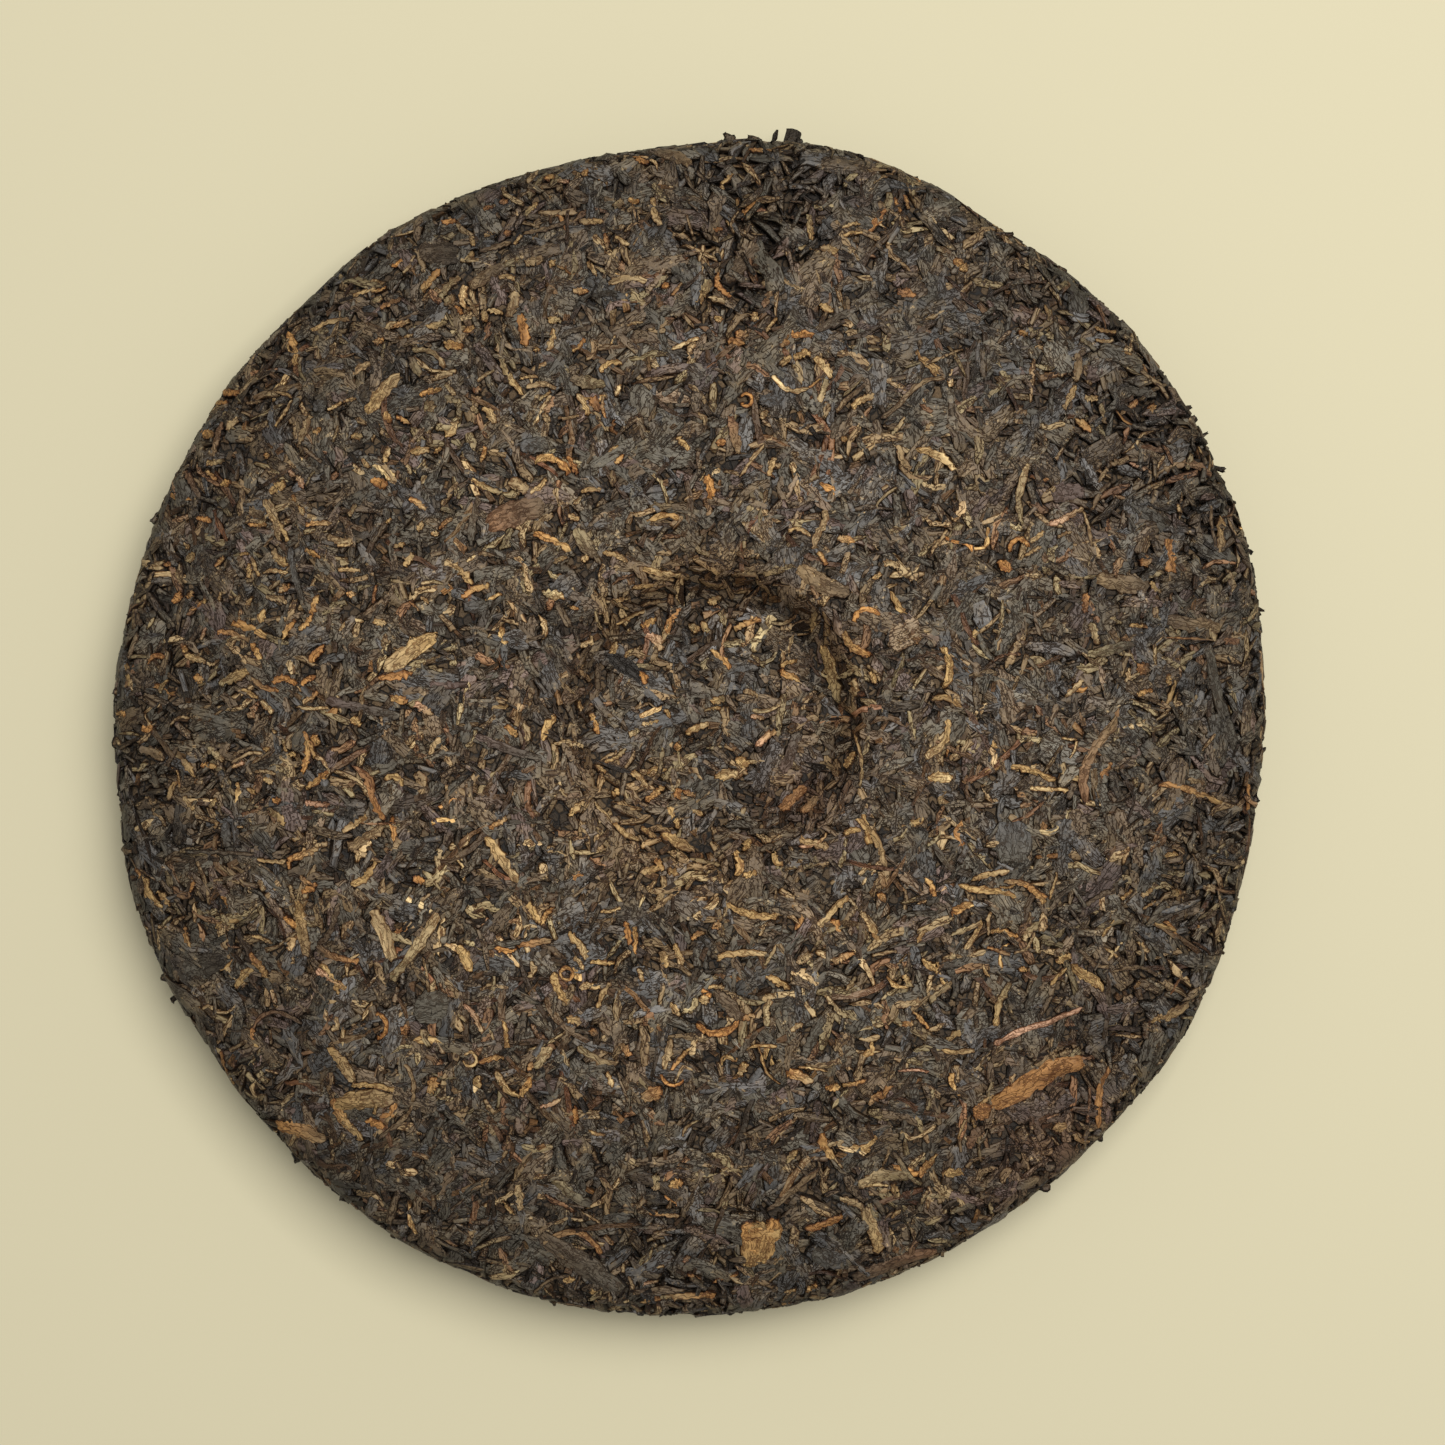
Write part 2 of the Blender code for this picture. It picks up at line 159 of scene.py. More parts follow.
def unevenness(x, y):
    """Slow swells of the pressed surface: waves that shrink and turn by a fixed rule."""
    total = 0
    for number in range(SWELL_COUNT):
        shrink = SWELL_SHRINK**number
        turn = number * GOLDEN_ANGLE
        run = (x * math.cos(turn) + y * math.sin(turn)) / (SWELL_LENGTH * shrink)
        total = total + SWELL_HEIGHT * shrink * np.sin(math.tau * run + turn)
    return total


def skin(flat_x, flat_y, under):
    """Surface points, in mm, over points of the cake unrolled flat from the middle of one side."""
    reach = np.hypot(flat_x, flat_y)
    angle = np.arctan2(flat_y, flat_x)
    run = WHOLE_RUN - reach if under else reach
    radius = np.interp(run, MERIDIAN_RUNS, MERIDIAN_RADII)
    height = np.interp(run, MERIDIAN_RUNS, MERIDIAN_HEIGHTS)
    radius = radius * stretch(angle, radius)
    x, y = radius * np.cos(angle), radius * np.sin(angle)
    rough = unevenness(x, y)
    z = height - dent(x, y) * (run < RIM_RUN) + rough * (1 - smooth_step(JOIN_RUN, LOW_JOIN_RUN, run))
    flank = smooth_step(JOIN_RUN, RIM_RUN, run)
    flank = flank * (1 - smooth_step(LOW_JOIN_RUN, LOW_JOIN_RUN + FLANK_FADE, run))
    return np.stack([x + rough * flank * np.cos(angle), y + rough * flank * np.sin(angle), z], -1)


def settled(height):
    """Heights as the ground leaves them: what lies lowest is pressed flat, one leaf still under the other."""
    room = SETTLED_BELOW - LOWEST_POINT
    pressed = LOWEST_POINT + room * np.exp((np.minimum(height, SETTLED_BELOW) - SETTLED_BELOW) / room)
    return np.where(height < SETTLED_BELOW, pressed, height)


def raised(flat_x, flat_y, lift, under):
    """Points this far out of the skin, in mm."""
    here = skin(flat_x, flat_y, under)
    across = skin(flat_x + SKIN_STEP, flat_y, under) - here
    along = skin(flat_x, flat_y + SKIN_STEP, under) - here
    out = np.cross(across, along)
    out /= np.linalg.norm(out, axis=-1, keepdims=True) * (-1 if under else 1)
    points = here + out * lift[..., None]
    points[..., 2] = settled(points[..., 2])
    return points


def srgb(red, green, blue):
    """A colour as it shows, 0 to 255, as the light that it sends back."""
    shown = np.array([red, green, blue]) / 255
    return np.where(shown <= 0.04045, shown / 12.92, ((shown + 0.055) / 1.055) ** 2.4)


# Colours of the leaves as they show in soft light, the brightest that a leaf may come out, and those of
# tea dust and of flecks. The grey of the slate and blue-black tones is partly the dark leaves' own and partly
# painted sheen, the room light that they reflect.
LEAF_TONES = {
    "slate": (66, 61, 52),
    "blue_black": (66, 64, 62),
    "umber": (78, 64, 48),
    "black": (41, 34, 26),
    "plum": (76, 62, 56),
    "brown": (110, 90, 63),
    "olive": (112, 98, 70),
    "red_brown": (100, 71, 48),
    "tan": (141, 119, 85),
    "golden": (145, 117, 74),
    "orange": (149, 106, 57),
    "rust": (136, 95, 53),
    "pale": (184, 159, 114),
    "cream": (240, 220, 174),
    "pink": (160, 123, 97),
}
BRIGHTEST = srgb(190, 160, 112)
DUST_TONE = (102, 85, 60)
FLECK_TONE = (184, 154, 106)

# What the streaks along a leaf do to its tone, between them and in them. The streaks are the leaf's grain,
# and the deep ones lie in the grooves of its relief, so their darkening is partly painted shade.
STREAK_LIGHT = (1.20, 1.23, 1.25)
STREAK_DEEP_AND_SHADE = (0.50, 0.43, 0.36)

# Painted shade between and inside the leaves is a warm brown, and so is their sheen
PAINTED_SHADE_WARMTH = (1.25, 0.82, 0.50)
SHEEN_TONE = (1.0, 0.93, 0.84)

# Kinds of leaf: templates, how many for each 1000 mm2, lengths, widths, thickness, spread of bend and
# sway (degrees), mean lift and its spread, and tones with their shares
LEAF_KINDS = {
    "dark_leaf_strips": {
        "templates": ("cut_strip", "pointed_strip", "club_strip"),
        "density": 168,
        "length": (3.5, 10.0),
        "width": (1.2, 2.7),
        "thick": 0.5,
        "bend": 30,
        "sway": 12,
        "lift": (-0.14, 0.10),
        "tones": {"slate": 0.36, "blue_black": 0.20, "umber": 0.24, "black": 0.10, "plum": 0.10},
    },
    "broad_dark_leaves": {
        "templates": ("broad_leaf", "torn_leaf"),
        "density": 55,
        "length": (5.0, 12.0),
        "width": (2.8, 5.6),
        "thick": 0.5,
        "bend": 12,
        "sway": 6,
        "lift": (-0.17, 0.10),
        "tones": {"slate": 0.42, "blue_black": 0.25, "umber": 0.21, "black": 0.04, "plum": 0.08},
    },
    "brown_leaf_strips": {
        "templates": ("cut_strip", "pointed_strip", "club_strip"),
        "density": 120,
        "length": (3.0, 9.0),
        "width": (0.9, 2.1),
        "thick": 0.45,
        "bend": 36,
        "sway": 16,
        "lift": (-0.10, 0.10),
        "tones": {"brown": 0.40, "olive": 0.26, "red_brown": 0.14, "tan": 0.20},
    },
    "short_dark_leaves": {
        "templates": ("short_strip",),
        "density": 122,
        "length": (2.2, 5.0),
        "width": (0.9, 1.9),
        "thick": 0.5,
        "bend": 20,
        "sway": 0,
        "lift": (-0.04, 0.09),
        "tones": {"slate": 0.38, "blue_black": 0.18, "umber": 0.24, "black": 0.12, "brown": 0.08},
    },
    "leaf_crumbs": {
        "templates": ("crumb", "long_crumb"),
        "density": 160,
        "length": (1.2, 3.4),
        "width": (0.8, 1.9),
        "thick": 0.45,
        "bend": 0,
        "sway": 0,
        "lift": (-0.10, 0.11),
        "tones": {
            "slate": 0.34,
            "umber": 0.24,
            "black": 0.12,
            "brown": 0.14,
            "olive": 0.08,
            "tan": 0.05,
            "golden": 0.03,
        },
    },
    "golden_buds": {
        "templates": ("bud", "bud_curl"),
        "density": 8,
        "length": (2.6, 7.0),
        "width": (0.8, 1.7),
        "thick": 0.5,
        "bend": 55,
        "sway": 22,
        "lift": (0.0, 0.08),
        "tones": {"golden": 0.46, "orange": 0.12, "rust": 0.14, "pale": 0.05, "tan": 0.23},
    },
    "leaf_stems": {
        "templates": ("stem",),
        "density": 10,
        "length": (7.0, 16.0),
        "width": (0.8, 1.6),
        "thick": 0.5,
        "bend": 45,
        "sway": 12,
        "lift": (0.0, 0.08),
        "tones": {
            "umber": 0.34,
            "slate": 0.2,
            "red_brown": 0.16,
            "brown": 0.2,
            "black": 0.07,
            "pink": 0.03,
        },
    },
}
SEED = 357
UNDER_SHARE = 0.86
REACH_PAST_RIM = 2.0

# How one leaf differs from the next: tone along it and beside its neighbours, folds and thickness
TONE_CHANGE = 0.45
BRIGHTNESS_SPREAD = 0.28
FOLD_SPREAD = (0.4, 1.6)
THICKNESS_SPREAD = (0.8, 1.25)
MARK_RANGE = 100

# A leaf is arched across its width and folded along it, as shares of its width; its crest stands out by
# this share of its arch
CROWN = (0.11, 0.05)
HIGHEST_CROWN = 0.30
FOLD = 0.016
WIDEST_FOLD = 5
ARCH_SHARE = 0.45
CREST_HALF_WIDTH = 0.45
FOLD_WAVES = (0.8, 1.4)

# Leaves are pressed level: how far they stand out and tilt, and how many times more where they lie loose
PRESSED_LEVEL = 0.20
TILT_ALONG = 0.018
TILT_ACROSS = 0.045
LOOSE_LEVEL = 3.5
LOOSE_LIFT = 3.0
LOOSE_TILT_ALONG = 4.0
LOOSE_TILT_ACROSS = 3.0
LOOSE_NARROWING = 0.25
CRUMPLE_ACROSS = 0.16
CRUMPLE_SHARE = 0.10
CRUMPLE_UP = 0.045
CORE_SINK = 0.42
LOOSE_SINK = 0.9
LOOSEST_SINK = 1.2

# A leaf is left out where less of it than this shows, in mm2, on the back and on the face
VISIBLE_CELL = 0.35
LEAST_VISIBLE = (0.9, 1.8)
SIGHT_GRID = (28, 8)
SIGHT_REACH = (0.48, 0.45)
CELLS_EACH_WAY = 1000

# Brown leaves lie closer together in patches: mean share and how much of the patches' -1 to 1 it takes
WARMTH_COUNT = 7
WARMTH_LENGTH = 42.0
WARMTH_SHRINK = 0.8
WARMTH_SHARES = {
    "dark_leaf_strips": (0.85, -0.15),
    "broad_dark_leaves": (0.85, -0.15),
    "brown_leaf_strips": (0.62, 0.38),
    "short_dark_leaves": (0.85, -0.15),
}

# Where leaves lie loose, in mm: x, y, spread and how loose. The rim is loose all round by its own share.
LOOSE_SPOTS = (
    (82, 50, 11, 1.1),
    (90, 34, 10, 0.6),
    (-2, -97, 15, 0.7),
    (8, 82, 8, 1.1),
    (10, 92, 7, 0.6),
    (94, -8, 12, 0.4),
    (84, -40, 10, 0.4),
    (-92, -14, 16, 0.3),
)
RIM_LOOSENESS = 0.35
RIM_LOOSE_FROM = (-6, 4)
UNDER_LOOSENESS = 0.3
UNDER_LOOSE_FROM = (60, 90)

# Golden buds lie closer together in these places, in mm: x, y, spread and how many more than elsewhere.
# Few lie near the bottom of the picture.
GOLDEN_SPOTS = (
    (-72, 12, 34, 1.0),
    (14, -42, 30, 0.9),
    (62, -30, 24, 0.5),
    (-60, -50, 26, 0.5),
    (-8, 68, 30, 0.4),
)
GOLDEN_ELSEWHERE = 0.45
GOLDEN_LOSS = 0.75
GOLDEN_LOSS_FROM = (70, 92)

# Leaves on the dimple's wall are short and lie along it
WALL_MARGINS = (1.5, 1.0)
WALL_TURN_SPREAD = 0.8
WALL_LEAF_SIZE = (6.0, 1.7)

# Places with a tint of their own, in mm: x, y, spread, tone and share. The dark brown one at 3.5, 27.5, on
# the dimple's upper lip, is painted shade.
TINTED_AND_SHADED_SPOTS = (
    (18.8, -10.8, 5.5, (70, 50, 38), 0.6),
    (-17, -12, 5.0, (122, 94, 58), 0.34),
    (-9, -20, 5.0, (124, 94, 54), 0.36),
    (2, -24, 4.0, (118, 88, 52), 0.26),
    (3.5, 27.5, 4.0, (78, 58, 32), 0.45),
    (60, -69, 8.0, (86, 58, 44), 0.35),
)
# The dimple's wall is tinted brown all round, and more on its upper side, which lies towards the light and
# slopes away
# from it: that extra tint is painted shade. The rim is darker, by painted shade
WALL_TINT_AND_SHADE = (84, 62, 36)
WALL_TINT_RADIUS = 24.0
WALL_TINT_SPREAD = 2.2
WALL_TINT_SHARE = 0.6
WALL_TINT_AND_SHADE_SIDES = (0.55, 0.45)
WALL_SHADE_ANGLE = 75
RIM_PAINTED_SHADE = 0.38
RIM_SHADE_FROM = (48, 98)

# The picture is taken from straight above: the middle of its frame and the distances, in mm
SIGHT_HEIGHT = 450.0
FRAME_WIDTH = 248.1
FRAME_POINTS = 1445
POINT = FRAME_WIDTH / FRAME_POINTS
FRAME_CENTRE = (5.15, 0.91)
RIM_LEVEL = 11.5

# How the leaves that stand out lie and vary, as for the other leaves
SHOWN_TEMPLATES = ("shown_strip", "shown_bud", "shown_leaf", "crumb")
SHOWN_LIFT = (0.28, 0.03)
SHOWN_WIDE_LIFT = 0.18
SHOWN_WIDE = (3.0, 5.5)
SHOWN_CROWN = 0.16
SHOWN_HIGHEST_CROWN = 0.32
SHOWN_FOLD = 0.03
SHOWN_WIDEST_FOLD = 4
SHOWN_THICKNESS = 0.6
SHOWN_SWAY = 8
SHOWN_LEVEL = 2 * PRESSED_LEVEL

# Leaves that stand out, by their tones at both ends. Both ends and the width are points of the picture,
# which is 1445 wide; then come how far the leaf bows to its left and its form, of SHOWN_TEMPLATES
SHOWN_LEAVES = {
    ("black", "black"): (
        (790, 1262, 812, 1262, 4, 9, 0),
    ),
    ("blue_black", "blue_black"): (
        (758, 400, 784, 400, 14, 0, 2),
    ),
    ("blue_black", "slate"): (
        (1013, 820, 1013, 865, 40, 0, 2), (226, 821, 227, 848, 11, 0, 2), (312, 407, 328, 404, 15, 0, 2),
        (290, 545, 302, 604, 8, -2, 0), (463, 608, 489, 604, 15, 0, 2), (519, 446, 549, 444, 18, 0, 2),
    ),
    ("brown", "brown"): (
        (346, 849, 384, 825, 12, -2, 0), (405, 1062, 414, 1104, 6, 5, 0), (1186, 778, 1206, 784, 9, 0, 1),
        (1153, 481, 1165, 468, 5, 1, 0), (1109, 466, 1131, 458, 8, 1, 0), (1078, 352, 1075, 382, 10, 2, 2),
    ),
    ("brown", "golden"): (
        (611, 982, 596, 1010, 7, -2, 0), (341, 1119, 363, 1142, 9, 2, 0), (818, 248, 841, 251, 10, 0, 1),
        (181, 758, 196, 778, 9, 1, 1), (168, 801, 176, 781, 8, 1, 2), (273, 392, 293, 398, 5, 2, 0),
        (250, 556, 259, 577, 6, 1, 0), (271, 549, 288, 566, 10, -1, 2), (393, 548, 406, 543, 7, 0, 1),
        (577, 221, 604, 223, 8, 1, 2), (471, 235, 474, 247, 7, 0, 2), (483, 308, 486, 323, 8, 0, 2),
    ),
    ("brown", "orange"): (
        (1002, 881, 1049, 898, 7, 6, 0), (782, 349, 789, 335, 9, 1, 0),
    ),
    ("brown", "pale"): (
        (295, 707, 330, 708, 5, -1, 0),
    ),
    ("brown", "red_brown"): (
        (1115, 712, 1082, 806, 12, -10, 0), (1163, 470, 1212, 474, 10, 11, 0),
        (212, 458, 223, 420, 8, 0, 0),
    ),
    ("brown", "rust"): (
        (621, 1043, 631, 1057, 9, 0, 2), (641, 1100, 663, 1089, 15, 1, 2), (868, 1106, 883, 1091, 9, 1, 1),
        (537, 1240, 607, 1251, 8, 17, 0), (1119, 414, 1139, 401, 7, 0, 0), (248, 679, 281, 693, 7, 1, 0),
        (299, 875, 318, 886, 6, -3, 0),
    ),
    ("brown", "tan"): (
        (797, 963, 811, 953, 10, 0, 2), (815, 552, 826, 509, 9, 1, 0), (629, 1275, 636, 1296, 5, 0, 0),
        (1013, 955, 1037, 933, 5, -4, 0), (988, 936, 991, 911, 5, 2, 0), (895, 1007, 921, 1001, 8, 1, 0),
        (686, 213, 693, 237, 4, 0, 0), (781, 279, 805, 292, 9, -1, 0), (267, 497, 279, 540, 9, 3, 0),
        (742, 690, 759, 697, 7, 1, 2), (229, 761, 264, 752, 5, 1, 0), (254, 771, 276, 774, 5, 1, 0),
        (259, 879, 265, 892, 7, 0, 2), (170, 725, 190, 717, 5, 4, 0), (298, 446, 312, 414, 9, 1, 2),
        (326, 535, 352, 541, 8, -4, 0), (266, 594, 288, 604, 8, 0, 2), (557, 418, 580, 416, 5, -1, 0),
        (508, 319, 518, 291, 12, 1, 2), (430, 381, 456, 370, 8, 0, 0),
    ),
    ("brown", "umber"): (
        (593, 1150, 599, 1164, 5, -1, 0), (835, 413, 867, 383, 6, 2, 0), (796, 567, 850, 594, 20, -4, 2),
        (532, 1291, 571, 1273, 5, 6, 0), (268, 976, 283, 982, 14, 2, 2), (414, 1104, 378, 1141, 6, 3, 0),
        (1094, 580, 1150, 588, 19, 2, 2), (1090, 511, 1111, 481, 6, 2, 0), (1209, 501, 1214, 554, 5, 3, 0),
        (1159, 903, 1186, 905, 5, -6, 0), (1109, 968, 1161, 974, 6, 3, 0), (640, 605, 668, 600, 5, 1, 0),
        (232, 757, 254, 746, 5, 1, 0), (248, 510, 265, 516, 13, 0, 2), (477, 554, 496, 556, 6, 1, 0),
        (470, 288, 503, 265, 16, 1, 2), (522, 234, 569, 222, 6, -1, 0),
    ),
    ("cream", "cream"): (
        (962, 966, 964, 967, 3, 0, 3), (852, 241, 858, 241, 4, 0, 3), (645, 656, 651, 656, 3, 0, 3),
        (297, 685, 302, 692, 3, 0, 0), (396, 468, 400, 467, 3, 0, 3), (530, 491, 532, 486, 3, 0, 3),
    ),
    ("cream", "pale"): (
        (237, 827, 244, 827, 3, 0, 0),
    ),
    ("golden", "brown"): (
        (566, 1019, 582, 1024, 9, 2, 2), (296, 898, 306, 957, 13, 2, 0), (331, 1106, 396, 1097, 20, 3, 2),
        (1023, 556, 1043, 546, 5, 0, 0), (1149, 1022, 1189, 1001, 13, -3, 2),
        (1197, 446, 1203, 456, 5, 0, 1), (721, 184, 724, 197, 6, 0, 0), (660, 834, 695, 852, 11, 1, 2),
        (859, 815, 888, 868, 9, 2, 0), (1220, 515, 1221, 555, 10, 1, 0), (892, 1183, 898, 1200, 9, 1, 0),
    ),
    ("golden", "golden"): (
        (588, 963, 616, 963, 7, 1, 1), (553, 972, 569, 1003, 9, -5, 0), (840, 440, 848, 437, 7, 0, 1),
        (748, 1232, 766, 1228, 12, 5, 1), (943, 645, 945, 688, 9, 8, 0), (457, 944, 470, 973, 13, 2, 1),
        (320, 962, 340, 996, 8, 4, 0), (350, 1084, 397, 1090, 7, 2, 0), (141, 874, 163, 911, 10, -3, 0),
        (157, 890, 171, 906, 8, 1, 1), (502, 1200, 515, 1216, 6, 0, 1), (562, 1281, 576, 1279, 7, 0, 1),
        (725, 904, 778, 917, 9, -6, 0), (765, 975, 790, 990, 9, 2, 1), (755, 1044, 781, 1087, 4, -4, 0),
        (1072, 962, 1102, 993, 14, 2, 1), (1052, 1127, 1068, 1127, 12, 0, 1),
        (957, 885, 1018, 898, 8, 2, 0), (999, 887, 1016, 885, 4, -2, 0), (921, 958, 938, 974, 9, 1, 1),
        (349, 887, 378, 863, 8, -3, 0), (527, 901, 540, 925, 9, 1, 0), (503, 1019, 508, 1049, 6, 1, 0),
        (1010, 765, 1056, 781, 8, 2, 0), (1138, 626, 1148, 626, 8, 0, 3), (1128, 625, 1144, 626, 6, 0, 0),
        (1136, 481, 1143, 482, 8, 0, 3), (1168, 673, 1170, 686, 7, 0, 1), (1120, 900, 1134, 890, 6, 1, 0),
        (1142, 910, 1156, 900, 4, 0, 0), (1050, 986, 1068, 967, 6, 2, 0), (1056, 962, 1072, 957, 10, 2, 1),
        (1068, 1134, 1076, 1132, 6, 0, 3), (1093, 328, 1116, 334, 5, -2, 0),
        (1113, 354, 1132, 356, 5, 1, 0), (842, 236, 864, 232, 5, 1, 0), (720, 185, 733, 173, 6, -2, 0),
        (713, 317, 723, 321, 7, 0, 1), (657, 262, 664, 256, 6, 0, 3), (818, 304, 834, 313, 8, 1, 1),
        (792, 356, 813, 353, 9, 0, 0), (598, 372, 622, 362, 7, 5, 0), (676, 436, 690, 452, 8, 1, 1),
        (351, 717, 362, 726, 9, 0, 1), (780, 667, 798, 660, 6, 2, 0), (869, 671, 876, 685, 7, 1, 1),
        (846, 770, 855, 751, 8, 1, 1), (873, 742, 882, 740, 9, 0, 3), (612, 798, 618, 788, 8, 0, 1),
        (668, 806, 680, 828, 9, -1, 2), (743, 852, 751, 838, 9, 0, 1), (667, 872, 677, 876, 9, 3, 0),
        (742, 876, 757, 872, 9, 0, 1), (664, 709, 672, 718, 6, 0, 1), (734, 760, 750, 765, 11, 1, 1),
        (843, 835, 861, 831, 7, 4, 0), (589, 1292, 598, 1291, 7, 0, 1), (241, 688, 259, 698, 6, 0, 0),
        (263, 748, 271, 751, 7, 0, 1), (288, 753, 297, 755, 7, 0, 1), (246, 788, 257, 795, 6, 1, 1),
        (270, 494, 286, 482, 11, 1, 1), (239, 555, 250, 554, 5, 1, 0), (249, 562, 249, 579, 7, 0, 1),
        (201, 602, 208, 601, 6, 0, 1), (942, 1173, 964, 1171, 11, -1, 1), (959, 1170, 966, 1169, 5, 0, 3),
        (433, 454, 443, 447, 6, 0, 1), (385, 524, 392, 518, 5, 0, 0), (533, 350, 540, 349, 7, 0, 1),
        (548, 263, 556, 264, 9, 0, 2),
    ),
    ("golden", "olive"): (
        (903, 974, 912, 988, 8, 0, 1), (993, 1029, 1009, 981, 9, 2, 0), (1149, 581, 1161, 594, 7, 0, 1),
        (1044, 305, 1049, 323, 5, 2, 0), (707, 603, 722, 599, 10, 1, 1), (625, 658, 634, 650, 5, 3, 0),
        (711, 702, 726, 698, 9, 0, 2), (603, 763, 627, 748, 6, -3, 0), (811, 634, 817, 610, 9, 1, 1),
        (613, 822, 640, 841, 7, -4, 0), (822, 644, 839, 704, 13, 3, 2), (857, 730, 861, 790, 5, 2, 0),
        (205, 463, 225, 461, 8, 0, 2), (351, 436, 364, 436, 8, 0, 2), (470, 479, 504, 494, 8, -2, 2),
        (547, 319, 562, 321, 9, 0, 2), (426, 327, 448, 323, 9, 0, 2),
    ),
    ("golden", "orange"): (
        (560, 980, 573, 980, 5, 14, 0), (634, 925, 636, 956, 6, 0, 0), (521, 1098, 530, 1075, 9, -1, 1),
        (669, 1186, 684, 1180, 10, 0, 1), (924, 879, 934, 896, 7, 5, 0), (989, 931, 1019, 937, 7, 3, 0),
        (912, 1010, 930, 1030, 6, 1, 1), (540, 925, 554, 906, 7, 1, 1), (1136, 697, 1153, 689, 7, 1, 0),
        (1074, 419, 1091, 432, 9, 1, 1), (627, 199, 640, 203, 8, 0, 1), (532, 459, 573, 471, 9, 7, 0),
        (710, 647, 731, 670, 8, 1, 1), (841, 632, 871, 658, 9, -3, 2), (590, 712, 598, 735, 7, 1, 0),
        (118, 712, 128, 716, 9, 0, 1), (306, 790, 329, 771, 8, 1, 0), (216, 406, 227, 404, 8, 0, 1),
        (220, 484, 232, 483, 9, 0, 1), (312, 433, 323, 428, 7, 0, 1), (304, 549, 321, 559, 7, 1, 1),
        (298, 630, 312, 614, 7, -3, 0), (283, 640, 295, 619, 8, 1, 1), (805, 1290, 818, 1283, 9, 0, 1),
        (481, 463, 486, 445, 6, 0, 0), (615, 465, 624, 454, 6, 0, 0), (370, 292, 387, 287, 5, -2, 0),
        (421, 292, 440, 269, 9, 0, 0), (581, 177, 589, 170, 9, 0, 1), (443, 344, 464, 348, 11, 1, 2),
        (572, 353, 587, 339, 6, 0, 0),
    ),
    ("golden", "pale"): (
        (599, 912, 622, 908, 5, -1, 0), (872, 579, 882, 573, 6, 0, 0), (927, 778, 953, 778, 13, 1, 1),
        (915, 448, 957, 469, 10, 5, 1), (814, 356, 833, 379, 10, 2, 1), (642, 568, 681, 576, 8, -2, 0),
        (612, 601, 628, 598, 6, 0, 1), (267, 443, 273, 448, 6, 0, 3), (857, 1185, 890, 1186, 5, 1, 0),
        (570, 567, 577, 567, 6, 0, 3),
    ),
    ("golden", "pink"): (
        (231, 767, 246, 763, 6, 1, 0),
    ),
    ("golden", "rust"): (
        (841, 1086, 867, 1081, 6, 1, 0), (817, 551, 827, 566, 6, 1, 0), (1141, 364, 1146, 378, 4, 1, 0),
        (389, 698, 409, 702, 10, 1, 1), (733, 630, 763, 619, 8, 3, 2), (640, 1300, 662, 1299, 10, 0, 1),
        (205, 470, 217, 481, 6, 1, 0), (880, 1278, 905, 1277, 4, 1, 0), (778, 1304, 792, 1300, 7, 0, 1),
        (384, 412, 391, 424, 9, 0, 1), (569, 606, 579, 610, 6, 0, 1),
    ),
    ("golden", "tan"): (
        (571, 930, 588, 960, 9, -2, 0), (675, 943, 682, 966, 8, 0, 0), (671, 1002, 679, 1016, 9, 0, 1),
        (588, 1130, 607, 1135, 5, -2, 0), (699, 997, 709, 1003, 11, 0, 2), (707, 988, 726, 987, 6, 1, 0),
        (769, 477, 775, 456, 8, 1, 1), (786, 531, 812, 535, 6, 5, 0), (365, 415, 401, 375, 16, 3, 2),
        (949, 717, 925, 760, 9, 10, 0), (329, 1046, 354, 1084, 14, 2, 1), (715, 958, 768, 954, 8, 5, 0),
        (970, 880, 1010, 871, 7, 2, 0), (1049, 901, 1057, 871, 5, -1, 0), (941, 1049, 976, 1051, 7, -3, 0),
        (917, 944, 926, 929, 6, 1, 0), (368, 814, 341, 833, 8, 1, 0), (484, 836, 519, 884, 11, 2, 0),
        (252, 937, 273, 944, 6, 4, 0), (1164, 492, 1171, 497, 8, 0, 3), (1177, 503, 1181, 514, 6, 0, 1),
        (1137, 941, 1149, 953, 7, 0, 1), (1076, 384, 1063, 410, 9, 1, 1), (1094, 340, 1113, 342, 5, -1, 0),
        (650, 198, 660, 228, 8, 2, 0), (738, 198, 732, 226, 5, 1, 0), (754, 311, 754, 323, 8, 0, 1),
        (615, 236, 630, 246, 6, 0, 0), (580, 491, 603, 490, 6, 1, 0), (850, 409, 875, 393, 8, 1, 0),
        (309, 331, 350, 319, 7, 4, 0), (352, 298, 386, 283, 6, 2, 0), (611, 657, 617, 641, 8, 1, 1),
        (685, 734, 710, 723, 8, 1, 0), (631, 770, 647, 787, 9, 1, 1), (640, 828, 655, 838, 7, 1, 2),
        (578, 700, 581, 712, 6, 0, 1), (614, 625, 646, 610, 5, 1, 0), (714, 777, 739, 773, 12, 1, 1),
        (569, 817, 585, 800, 8, 1, 0), (797, 840, 830, 848, 9, 2, 0), (184, 655, 206, 663, 9, 2, 1),
        (157, 749, 163, 762, 6, 1, 0), (263, 778, 274, 783, 7, 0, 2), (256, 859, 287, 861, 6, -2, 0),
        (299, 505, 304, 516, 7, 0, 1), (336, 546, 354, 542, 5, -2, 0), (337, 568, 361, 569, 6, -3, 0),
        (219, 602, 221, 591, 5, 0, 0), (890, 1218, 902, 1209, 6, 0, 1), (957, 1140, 966, 1118, 5, 0, 0),
        (444, 438, 459, 420, 9, -1, 1), (483, 406, 496, 424, 10, 1, 1), (385, 463, 389, 446, 8, 0, 2),
        (410, 452, 430, 450, 9, 1, 2), (417, 532, 424, 521, 7, 0, 1), (403, 567, 415, 553, 8, 0, 1),
        (602, 551, 629, 562, 7, 1, 0), (372, 620, 387, 624, 9, 0, 1), (417, 590, 431, 586, 5, 0, 0),
